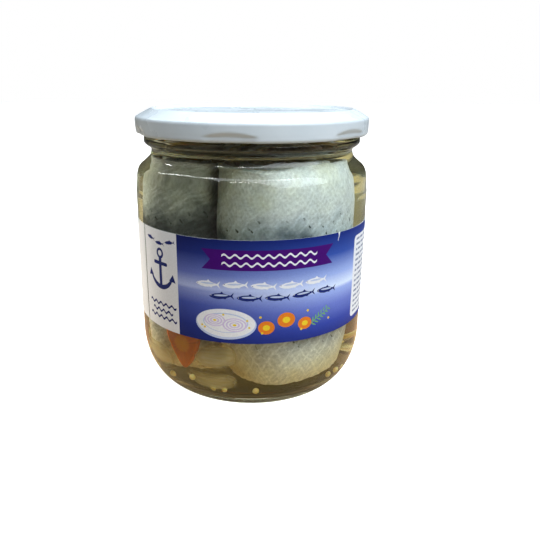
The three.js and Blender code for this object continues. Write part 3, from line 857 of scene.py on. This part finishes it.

# Under the lid the tinplate has a clear gold lacquer that vinegar can't attack, over the brushed grain of
# the rolled sheet. Its colour is painted a deep brown, as painted shade for the little light that gets
# under the shut lid.
gold_lacquer, add = new_material("gold lacquered tinplate")
place = add("TexCoord").outputs["Object"]
rolled = add("Mapping", {0: place, "Scale": (0.06, 1, 1)})
grain = add("TexNoise", {"Vector": rolled, "Scale": 1 / (0.5 * MM), "Detail": 2.0})
colour = add("ValToRGB", {0: grain}, stops=[(0.3, "#241e12"), (0.7, "#30281a")])
shader = add("BsdfPrincipled", {"Base Color": colour, "Metallic": 0.8, "Roughness": 0.35})
add("OutputMaterial", {"Surface": shader})

lid = turned("enamelled_lid", [*lid_inside, *lid_outside], stoved_enamel, reach=lid_reach)
lid.data.materials.append(gold_lacquer)
curl_start = lid_inside.index((skirt - 0.1, curl_top + 0.3))
for face in lid.data.polygons:
    face.material_index = 1 if face.index < curl_start * FACETS else 0
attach(lid, "root")
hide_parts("lid")

# The seal
# A ring of soft sealing compound, flowed into the channel of the lid and set there. The rim of the glass
# beds into it.

SEAL_INNER = 36.1
SEAL_OUTER = 38.9
seal_bottom = RIM_HEIGHT + 0.3

# The compound is an off-white rubbery plastisol with a dull, faintly dimpled surface.
plastisol, add = new_material("off-white plastisol")
place = add("TexCoord").outputs["Object"]
dimples = add("TexNoise", {"Vector": place, "Scale": 1 / (0.8 * MM), "Detail": 2.0})
relief = add("Bump", {"Strength": 0.3, "Distance": 0.1 * MM, "Height": dimples})
colour = add("ValToRGB", {0: dimples}, stops=[(0.3, "#d9d4c6"), (0.7, "#e6e2d6")])
shader = add("BsdfPrincipled", {"Base Color": colour, "Roughness": 0.55, "Normal": relief})
add("OutputMaterial", {"Surface": shader})
seal = turned("sealing_ring", [
    *smooth_line([
        (SEAL_INNER, seal_bottom + 0.2), (SEAL_INNER + 0.2, seal_bottom), (SEAL_OUTER - 0.2, seal_bottom),
    ], 6),
    *smooth_line([
        (SEAL_OUTER, seal_bottom + 0.1), (SEAL_OUTER, seal_bottom + 0.4), (SEAL_INNER, seal_bottom + 1.2),
    ], 8),
], plastisol, facets=144)
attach(seal, "root")
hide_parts("lid_seal")

# The label
# One strip of coated paper, offset printed and varnished, glued round the body until its ends nearly meet.
# The print is drawn flat, in mm along the strip and up the jar, and every ink is a field of the paper.

LABEL_RADIUS = 43.3
PAPER = 0.12
LABEL_START = -59.6
LABEL_SPAN = 358.9
LABEL_BOTTOM = 29.3
LABEL_TOP = 65.1
ALONG = math.radians(1) * LABEL_RADIUS  # mm of strip to a degree round the jar
LABEL_COLUMNS = 144


def printed_paper(name, ink):
    """Coated paper under a satin varnish. ink is a hex colour or makes the colour of a blend. The paper has
    cockled in ripples 9 mm long, and its dots are drawn 0.4 mm wide, as real ones would not show."""
    made, add = new_material(name)
    place = add("TexCoord").outputs["Object"]
    dots = add("TexNoise", {"Vector": place, "Scale": 1 / (0.4 * MM), "Detail": 2.0})
    share = add("MapRange", {0: dots, 1: 0.3, 2: 0.7, 3: 0.94, 4: 1.06})
    solid = ink(add, place) if callable(ink) else linear(ink)[:3]
    colour = add("VectorMath", {0: solid, "Scale": share}, operation="SCALE")
    ripple = add("TexNoise", {"Vector": place, "Scale": 1 / (9 * MM), "Detail": 2.0})
    relief = add("Bump", {"Strength": 0.25, "Distance": 0.3 * MM, "Height": ripple})
    shader = add("BsdfPrincipled", {
        "Base Color": colour, "Roughness": 0.45, "IOR": 1.4, "Specular IOR Level": 0.2, "Normal": relief,
    })
    add("OutputMaterial", {"Surface": shader})
    return made


def sea_blue(add, place):
    """The blend of the label's ground: deep blue above and below a pale band, as printed. It is painted
    lighter on the right of the front, with the band widest and brightest there, and darker round the left
    and back, as painted light and shade."""
    flat = add("SeparateXYZ", {0: place})
    depth = add("Math", {0: flat.outputs[1], 1: -1.0}, operation="MULTIPLY")
    turn = add("Math", {0: flat, 1: depth}, operation="ARCTAN2")
    rise = add("MapRange", {0: turn, 1: -0.7, 2: 0.9}, interpolation_type="SMOOTHSTEP")
    fall = add("MapRange", {0: turn, 1: 1.9, 2: 3.1, 3: 1.0, 4: 0.0}, interpolation_type="SMOOTHSTEP")
    glow = add("Math", {0: rise, 1: fall}, operation="MULTIPLY")
    height = add("MapRange", {0: flat.outputs[2], 1: LABEL_BOTTOM * MM, 2: LABEL_TOP * MM})
    dim = add("ValToRGB", {0: height}, stops=[
        (0.0, "#14236a"), (0.14, "#1b2c7c"), (0.36, "#3b4ba0"), (0.5, "#7c89c6"), (0.53, "#aab6df"),
        (0.66, "#5e6bb2"), (0.86, "#1c2a72"), (1.0, "#0e1a5a"),
    ])
    bright = add("ValToRGB", {0: height}, stops=[
        (0.0, "#1e2f84"), (0.12, "#3346a4"), (0.3, "#6a7bca"), (0.44, "#9bb0ea"), (0.475, "#d9e8ff"),
        (0.6, "#9bb1e8"), (0.8, "#3250a6"), (1.0, "#102576"),
    ])
    # The lighter ramp on the right of the front is painted light, the darker one round the left and back
    # painted shade.
    blend = add("Mix", {0: glow, 6: dim, 7: bright}, data_type="RGBA")
    return blend.outputs[2]


# The glued side behind the jar has a painted glow, an emission stronger on the left, that stands in for
# light coming through the paper.
glued_side, add = new_material("glued side of coated paper with light behind it")
place = add("TexCoord").outputs["Object"]
fibres = add("TexNoise", {"Vector": place, "Scale": 1 / (6 * MM), "Detail": 3.0})
glow = add("ValToRGB", {0: fibres}, stops=[(0.3, "#f0d3a4"), (0.7, "#fbe2b8")])
sideways = add("SeparateXYZ", {0: place})
left = add("MapRange", {0: sideways, 1: -20 * MM, 2: 15 * MM, 3: 0.75, 4: 0.18})
shader = add("BsdfPrincipled", {
    "Base Color": linear("#e0dccf"), "Roughness": 0.8, "Emission Color": glow, "Emission Strength": left,
})
add("OutputMaterial", {"Surface": shader})

PAPER_WHITE, GROUND, NAVY, PURPLE, SILVER, PALE, GREEN, YELLOW, ORANGE, GREY, GLUED = range(11)
inks = {"": "#e3e6ea", " printed sea blue": sea_blue, " printed navy": "#1c2a6c"}
inks |= {" printed purple": "#40056c", " printed silver blue": "#b7c5e2", " printed pale violet": "#cdbfe0"}
inks |= {" printed green": "#6fae4c", " printed yellow": "#e3c62e", " printed orange": "#db7a26"}
inks |= {" printed grey": "#8790a6"}
label_inks = [printed_paper("coated paper" + name, ink) for name, ink in inks.items()] + [glued_side]
prints = []


def draw(ink, outline, degrees, height, turn=0):
    """Prints a closed outline, given in mm round its own middle, at an angle round the jar and a height."""
    c, s = math.cos(math.radians(turn)), math.sin(math.radians(turn))
    points = [(degrees * ALONG + x * c - y * s, height + x * s + y * c) for x, y in outline]
    area = sum(a[0] * b[1] - b[0] * a[1] for a, b in zip(points, points[1:] + points[:1]))
    prints.append((ink, points if area > 0 else points[::-1]))


def oblong(width, height, rounding=0.0):
    """A rectangle, with rounded corners where rounding isn't 0."""
    x, y = width / 2 - rounding, height / 2 - rounding
    if rounding == 0:
        return [(-x, -y), (x, -y), (x, y), (-x, y)]
    corners = [(x, y, 0), (-x, y, 90), (-x, -y, 180), (x, -y, 270)]
    return [p for a, b, start in corners for p in arc((a, b), rounding, rounding, start, start + 90, 5)]


def disc(width, height, count=28):
    return arc((0, 0), width / 2, height / 2, 0, 360, count)[:-1]


def herring_outline(length):
    """A herring in profile, swimming left: a slim body, one back fin and a forked tail."""
    key = [
        (-0.5, 0.0), (-0.42, 0.055), (-0.25, 0.105), (-0.04, 0.125), (0.02, 0.185), (0.09, 0.11),
        (0.26, 0.05), (0.36, 0.03), (0.5, 0.15), (0.43, 0.0), (0.5, -0.15), (0.36, -0.03), (0.2, -0.075),
        (0.14, -0.13), (0.08, -0.105), (-0.1, -0.125), (-0.3, -0.1), (-0.44, -0.045),
    ]
    return [(x * length, y * length) for x, y in key]


def wave_line(length, height, weight, waves):
    """A wavy line of even weight."""
    t = np.linspace(0, 1, waves * 8 + 1)
    crest = height / 2 * np.sin(2 * math.pi * waves * t)
    x = (t - 0.5) * length
    upper = list(zip(x, crest + weight / 2))
    return [*zip(x, crest - weight / 2), *upper[::-1]]


def shoal(degrees, height, length, columns):
    """Two staggered rows of small herring with silver flanks, white above and navy below."""
    for row in range(2):
        for i in range(columns):
            turn = 4 * math.sin(2.3 * i + row)
            at = degrees + (i - columns / 2 + 0.5 * row + 0.25) * length * 1.08 / ALONG
            up = height + (0.5 - row) * length * 0.47 + 0.25 * math.sin(1.7 * i + 2 * row)
            body, eye = (NAVY, PAPER_WHITE) if row else (PAPER_WHITE, NAVY)
            draw(body, herring_outline(length), at, up, turn)
            flank, pupil = disc(0.56 * length, 0.075 * length, 14), disc(0.035 * length, 0.035 * length, 8)
            draw(SILVER, flank, at - 0.02 * length / ALONG, up + 0.03 * length, turn)
            draw(eye, pupil, at - 0.42 * length / ALONG, up + 0.01 * length)


def ribbon(degrees, height, width, depth):
    """A purple ribbon with swallow tails, and two white waves along it."""
    notch = depth * 0.45
    half = width / 2
    outline = [
        (-half, -depth / 2), (half, -depth / 2), (half - notch, 0), (half, depth / 2), (-half, depth / 2),
        (-half + notch, 0),
    ]
    draw(PURPLE, outline, degrees, height)
    wave = wave_line(width * 0.7, depth * 0.17, depth * 0.1, 9)
    for lift in (-0.2, 0.2):
        draw(PAPER_WHITE, wave, degrees, height + lift * depth)


def dill_sprig(degrees, height, lean):
    """A stem of dill with paired leaves."""
    draw(GREEN, wave_line(8.5, 0.7, 0.3, 1), degrees, height, lean)
    c, s = math.cos(math.radians(lean)), math.sin(math.radians(lean))
    for i in range(13):
        side = 1 if i % 2 else -1
        x, y = (i - 5.6) * 0.66, side * 0.85
        at = degrees + (x * c - y * s) / ALONG
        draw(GREEN, disc(2.1 - 0.07 * i, 0.42, 10), at, height + x * s + y * c, lean + side * 58)


def garnished_plate(degrees, height, width):
    """A plate with two slices of onion and a few mustard seeds."""
    draw(SILVER, disc(width, width * 0.52, 48), degrees, height - 0.5)
    draw(PAPER_WHITE, disc(width * 0.96, width * 0.48, 48), degrees, height - 0.1)
    draw(SILVER, disc(width * 0.74, width * 0.34, 40), degrees, height)
    draw(PAPER_WHITE, disc(width * 0.7, width * 0.31, 40), degrees, height - 0.1)
    for shift, lift, across in ((-3.6, 0.7, 7.4), (3.2, -0.6, 8.2)):
        at = degrees + shift / ALONG
        for step, ink in enumerate((PALE, PAPER_WHITE, PALE, PAPER_WHITE, PALE, PAPER_WHITE, YELLOW)):
            share = 1 - step * 0.14
            draw(ink, disc(across * share, across * 0.6 * share, 30), at, height + lift)
    for shift, lift in ((-8.2, -1.6), (-7.2, -2.2), (8.1, -1.4), (7.4, 1.1), (-0.6, 2.9)):
        draw(YELLOW, disc(0.8, 0.75, 10), degrees + shift / ALONG, height + lift)


def carrot_rounds(degrees, height):
    """Three slices of carrot that lie apart, with paler cores."""
    for shift, lift, across in ((-6.6, -0.9, 5.6), (0.2, 1.5, 6.2), (7.0, -0.6, 5.2)):
        at = degrees + shift / ALONG
        draw(ORANGE, disc(across, across * 0.86, 26), at, height + lift)
        draw(YELLOW, disc(across * 0.44, across * 0.36, 16), at, height + lift)


def sea_scene(degrees):
    """The picture on the front and again on the back: the ribbon over a shoal, and under them the plate,
    the carrot and the dill."""
    ribbon(degrees, 58.4, 46, 6.8)
    shoal(degrees, 47.8, 8.6, 5)
    garnished_plate(degrees - 20, 36.6, 21)
    carrot_rounds(degrees + 7, 36)
    dill_sprig(degrees + 24.5, 37, 32)
    for shift, lift in ((-4.4, 38.9), (-3.6, 33.2), (14.5, 33.4), (17.6, 39.8), (29.6, 35.2)):
        draw(YELLOW, disc(0.9, 0.85, 10), degrees + shift, lift)


def small_print(degrees, height, width, rows, pitch, ink, seed):
    """Rows of short bars that stand for small print."""
    draws = random.Random(seed)
    for row in range(rows):
        x = -width / 2
        while x < width / 2 - 1.2:
            length = min(draws.uniform(1.2, 4.2), width / 2 - x)
            at = degrees + (x + length / 2) / ALONG
            draw(ink, oblong(length, pitch * 0.42), at, height - row * pitch)
            x += length + 0.7


band_left, band_right = LABEL_START, -34.8
middle_height = (LABEL_BOTTOM + LABEL_TOP) / 2
label_height = LABEL_TOP - LABEL_BOTTOM
strip_middle = LABEL_START + LABEL_SPAN / 2
draw(PAPER_WHITE, oblong(LABEL_SPAN * ALONG, label_height), strip_middle, middle_height)
ground_end = LABEL_START + LABEL_SPAN - 20
ground_middle = (ground_end + band_right) / 2
draw(GROUND, oblong((ground_end - band_right) * ALONG, label_height), ground_middle, middle_height)

# On the white band: an anchor, with a small shoal over it and waves under it.
band_middle = (band_left + band_right) / 2 + 1
for i in range(3):
    fish_at = band_middle + (i - 1) * 5.4 / ALONG
    draw(NAVY, herring_outline(5), fish_at, 61.6 - 1.1 * (i % 2), 8 * (i - 1))
draw(NAVY, disc(3.8, 3.8, 24), band_middle, 57)
draw(PAPER_WHITE, disc(2.0, 2.0, 18), band_middle, 57)
draw(NAVY, oblong(1.5, 11.6, 0.5), band_middle, 49.9)
draw(NAVY, oblong(7.6, 1.3, 0.6), band_middle, 53.4)
arms = arc((0, 0), 6.4, 6.4, 200, 340, 24) + arc((0, 1.1), 6.0, 5.8, 335, 205, 24)
draw(NAVY, arms, band_middle, 50.4)
for side in (-1, 1):
    fluke = [(-1.6, 0), (1.5, 0.5), (-0.4, 2.9)]
    draw(NAVY, [(side * x, y) for x, y in fluke], band_middle - side * 6 / ALONG, 47.6)
for i, width in enumerate((15.0, 11.5, 15.0)):
    draw(NAVY, wave_line(width, 1.0, 0.8, 5 - i % 2), band_middle, 38.4 - 2.5 * i)

# The picture on the front, and to the right of it a white panel with two columns of small print.
panel_height, panel_middle, panel_rounding = 30.6, 46.4, 1.6
panel_left = 56.3
sea_scene(8.5)
draw(PAPER_WHITE, oblong(29, panel_height, panel_rounding), panel_left + 14.5 / ALONG, panel_middle)
for column, seed in ((7.6, 5), (21.4, 6)):
    small_print(panel_left + column / ALONG, 60.2, 11.5, 15, 1.95, GREY, seed)

# The picture once more on the back, and a panel with a table beside it.
table_at = 216
sea_scene(150)
draw(PAPER_WHITE, oblong(34, panel_height, panel_rounding), table_at, panel_middle)
for row in range(9):
    lift = 59.2 - row * 3.2
    draw(GREY, oblong(30, 0.25), table_at, lift - 1.6)
    draw(GREY, oblong(8 + 3 * math.sin(row * 2.1), 0.95), table_at - 8.5 / ALONG, lift)
    draw(GREY, oblong(3.5, 0.95), table_at + 12.5 / ALONG, lift)

# A white block of upright bars, with pale small print under it.
block_at, block_height = 264, 52
draw(PAPER_WHITE, oblong(22, 16, 1.0), block_at, block_height)
bars = random.Random(8)
x = -8.5
while x < 8.3:
    width = bars.choice((0.35, 0.35, 0.7, 1.0))
    draw(NAVY, oblong(width, 11.5), block_at + (x + width / 2) / ALONG, block_height)
    x += width + bars.choice((0.35, 0.5, 0.8))
small_print(block_at, 40.5, 22, 4, 2.0, SILVER, 9)

# A nick in the top edge shows the white core of the paper.
nick = [(-0.35, 1.3), (0.55, 1.3), (0.3, 0.2), (-0.25, -1.6), (-0.5, -1.5), (-0.05, 0.1)]
draw(PAPER_WHITE, nick, 42.5, LABEL_TOP - 1.3)


def label_strip(name):
    """Cuts the flat print into triangles along every outline, wraps it round the jar and thickens it."""
    points, edges, outlines = [], [], []
    for _, outline in prints:
        outlines.append(list(range(len(points), len(points) + len(outline))))
        points += outline
    for i in range(1, LABEL_COLUMNS):
        x = (LABEL_START + LABEL_SPAN * i / LABEL_COLUMNS) * ALONG
        edges.append((len(points), len(points) + 1))
        points += [(x, LABEL_BOTTOM), (x, LABEL_TOP)]
    flat, _, cells, _, _, sources = delaunay_2d_cdt(
        [Vector(p) for p in points], edges, outlines, 1, 1e-4, True,
    )
    count = len(flat)
    verts = [on_jar(p.x / ALONG, LABEL_RADIUS, p.y) for p in flat]
    verts += [on_jar(p.x / ALONG, LABEL_RADIUS - PAPER, p.y) for p in flat]
    faces = [list(cell) for cell in cells]
    inks = [prints[max(source)][0] for source in sources]
    rim = {}
    for a, b, c in cells:
        for edge in ((a, b), (b, c), (c, a)):
            rim[edge] = rim.pop(edge[::-1], None) is None
    border = [edge for edge, single in rim.items() if single]
    faces += [[c + count, b + count, a + count] for a, b, c in cells]
    # Inside faces behind the jar take the glued side's painted glow.
    inks += [GLUED if verts[cell[0]][1] > 0 else PAPER_WHITE for cell in cells]
    faces += [[b, a, a + count, b + count] for a, b in border]
    inks += [PAPER_WHITE] * len(border)
    strip = add_piece(name, verts, faces, label_inks)
    strip.data.polygons.foreach_set("material_index", inks)
    return strip


label_paper = label_strip("paper_label")
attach(label_paper, "root")
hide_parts("label")

# The studio
# An opal acrylic table, lit from below so that it looks almost white, runs on into a white backdrop. Bent
# and mirrored light sees both darker: grey walls and a grey table. To bent light the table is a painted
# glow, tan in a far strip and brighter on the left, dark elsewhere and darkest round the jar as painted
# shadow. Mirrored and bounced light sees a painted warm pool of light close to the jar, which reflections
# near the front lose as painted shadow.

opal_acrylic, add = new_material("opal acrylic table lit from below")
place = add("TexCoord").outputs["Object"]
cloud = add("TexNoise", {"Vector": place, "Scale": 1 / (60 * MM), "Detail": 2.0})
colour = add("ValToRGB", {0: cloud}, stops=[(0.3, "#f1f1ef"), (0.7, "#f6f6f5")])
sheet = add("BsdfPrincipled", {"Base Color": colour, "Roughness": 0.7})
glow = add("Emission", {"Color": linear("#ffffff"), "Strength": 0.75})
bright_sheet = add("AddShader", {0: sheet, 1: glow})
grey_sheet = add("BsdfDiffuse", {"Color": linear("#6e6a63")})
# A painted warm pool of light glows round the jar for mirrored and bounced light; reflections near the
# front lose it, as painted shadow.
apart = add("VectorMath", {0: place}, operation="LENGTH").outputs["Value"]
near = add("MapRange", {0: apart, 1: 60 * MM, 2: 190 * MM})
pool = add("ValToRGB", {0: near}, stops=[(0.0, "#dcb274"), (0.5, "#7a6140"), (1.0, "#000000")])
path = add("LightPath")
stretched = add("VectorMath", {0: place, 1: (1.5, 1, 1)}, operation="MULTIPLY")
from_front = add("VectorMath", {0: stretched}, operation="LENGTH").outputs["Value"]
close = add("MapRange", {0: from_front, 1: 48 * MM, 2: 78 * MM, 3: 0.8, 4: 0.0})
in_glass = add("Math", {0: path.outputs["Is Glossy Ray"], 1: close}, operation="MULTIPLY")
strength = add("Math", {0: in_glass, 1: -0.86, 2: 0.86}, operation="MULTIPLY_ADD")
warm_pool = add("Emission", {"Color": pool, "Strength": strength})
grey_sheet = add("AddShader", {0: grey_sheet, 1: warm_pool})
# To bent light the table is a painted glow: darkest round the jar as painted shadow, tan in a far strip,
# brighter on the left.
behind = add("SeparateXYZ", {0: place}).outputs[1]
share = add("MapRange", {0: behind, 1: -40 * MM, 2: 760 * MM})
halves = []
for far_strip in ("#eee1bc", "#93805f"):
    stops = [(0.0, "#33290f"), (0.1, "#5a4a22"), (0.2, "#3a3120")]
    stops += [(0.26, far_strip), (0.39, far_strip), (0.45, "#15130e")]
    halves.append(add("ValToRGB", {0: share}, stops=stops))
sideways = add("SeparateXYZ", {0: place})
to_right = add("MapRange", {0: sideways, 1: -20 * MM, 2: 20 * MM})
tan = add("Mix", {0: to_right, 6: halves[0], 7: halves[1]}, data_type="RGBA")
bent = add("Emission", {"Color": tan.outputs[2], "Strength": 1.0})
through = {0: path.outputs["Is Transmission Ray"], 1: grey_sheet, 2: bent}
hidden = add("MixShader", through)
seen = {0: path.outputs["Is Camera Ray"], 1: hidden, 2: bright_sheet}
choice = add("MixShader", seen)
add("OutputMaterial", {"Surface": choice})
reach = 3.0
floor_corners = [(-reach, -reach, 0), (reach, -reach, 0), (reach, reach, 0), (-reach, reach, 0)]
floor = add_piece("floor", floor_corners, [[0, 1, 2, 3]], [opal_acrylic])

world = bpy.data.worlds.new("studio")
world.use_nodes = True
world.node_tree.nodes.clear()
add = partial(node, world.node_tree)
direction = add("TexCoord").outputs["Generated"]
parts = add("SeparateXYZ", {0: direction})
upward = add("MapRange", {0: parts.outputs[2], 1: -0.1, 2: 1.0})
walls = add("ValToRGB", {0: upward}, stops=[(0.0, "#75736f"), (0.3, "#9a9c9f"), (1.0, "#dde6ee")])
side = add("MapRange", {0: parts, 1: -0.5, 2: 1.0, 3: 0.0, 4: 2.1})
lit = add("VectorMath", {0: walls, "Scale": side}, operation="SCALE")
neutral = add("Background", {"Color": lit, "Strength": 0.7})
mirrored = add("Background", {"Color": walls, "Strength": 0.25})
warm = add(
    "ValToRGB", {0: parts.outputs[1]}, stops=[(0.0, "#14120d"), (0.5, "#100e0a"), (0.9, "#0a0806")],
)
bent = add("Background", {"Color": warm, "Strength": 1.0})
backdrop = add("Background", {"Color": linear("#ffffff"), "Strength": 1.0})
path = add("LightPath")
shown = neutral
for kind, light in (("Glossy", mirrored), ("Transmission", bent), ("Camera", backdrop)):
    pair = {0: path.outputs[f"Is {kind} Ray"], 1: shown, 2: light}
    shown = add("MixShader", pair)
add("OutputWorld", {"Surface": shown})
bpy.context.scene.world = world


def soft_light(name, spot, aim, width, height, watts, colour="#ffffff", mirrored=True, spread=180, roll=0):
    light = bpy.data.lights.new(name, "AREA")
    light.shape = "RECTANGLE"
    light.size, light.size_y = width, height
    light.energy = watts
    light.spread = math.radians(spread)
    light.color = linear(colour)[:3]
    lamp = bpy.data.objects.new(name, light)
    bpy.context.scene.collection.objects.link(lamp)
    lamp.location = spot
    lamp.visible_camera = False
    lamp.visible_transmission = mirrored
    lamp.visible_glossy = mirrored
    lamp.rotation_mode = "QUATERNION"
    facing = (Vector(aim) - Vector(spot)).to_track_quat("-Z", "Y")
    lamp.rotation_quaternion = facing @ Matrix.Rotation(math.radians(roll), 3, "Z").to_quaternion()


# A large soft light on the right and one overhead. A narrow one over the front and a narrow leaning one
# behind on the left draw thin lights on the shoulder. A small one behind on the left lights the left edge,
# and a low one behind on the right lights the back.
soft_light("main light", (0.6, -0.48, 0.88), (0, 0, 0.05), 1.2, 1.2, 14.9, "#f0f7ff")
soft_light("top light", (0.0, 0.1, 1.1), (0, 0, 0.05), 1.0, 1.0, 11.0, "#f2f8ff")
soft_light("shoulder light", (-0.15, -0.5, 0.75), (0, 0, 0.08), 0.7, 0.016, 1.5)
soft_light("rim light", (-0.2, 0.167, 0.045), (0, 0, 0.045), 0.12, 0.06, 0.068, "#fff6e8", False, 30)
soft_light("back light", (0.3, 0.6, 0.25), (0, 0, 0.07), 0.6, 0.3, 5.2, "#f4f4fa", False)
soft_light("line light", (-0.41, 0.16, 0.655), (0, 0, 0.08), 0.64, 0.02, 1.0, roll=60)

# The camera stands 216 mm from the jar's axis and 113 mm above the floor, and looks down by 18.8 degrees.
CAMERA_OUT = 216.4
CAMERA_HEIGHT = 112.7
LOOK_DOWN = 18.79
CAMERA_ROLL = 0.25
camera_data = bpy.data.cameras.new("camera")
camera_data.sensor_width = 36
camera_data.lens = 38.02
camera_data.shift_x = 0.0347
camera_data.shift_y = 0.0089
camera_data.clip_start = 0.01
camera = bpy.data.objects.new("camera", camera_data)
bpy.context.scene.collection.objects.link(camera)
camera.location = (0, -CAMERA_OUT * MM, CAMERA_HEIGHT * MM)
camera.rotation_mode = "QUATERNION"
looking = Matrix.Rotation(math.radians(90 - LOOK_DOWN), 3, "X")
looking @= Matrix.Rotation(math.radians(CAMERA_ROLL), 3, "Z")
camera.rotation_quaternion = looking.to_quaternion()
bpy.context.scene.camera = camera
bpy.context.scene.view_settings.view_transform = "Standard"
bpy.context.scene.cycles.max_bounces = 24
bpy.context.scene.cycles.transmission_bounces = 20
bpy.context.scene.cycles.transparent_max_bounces = 24
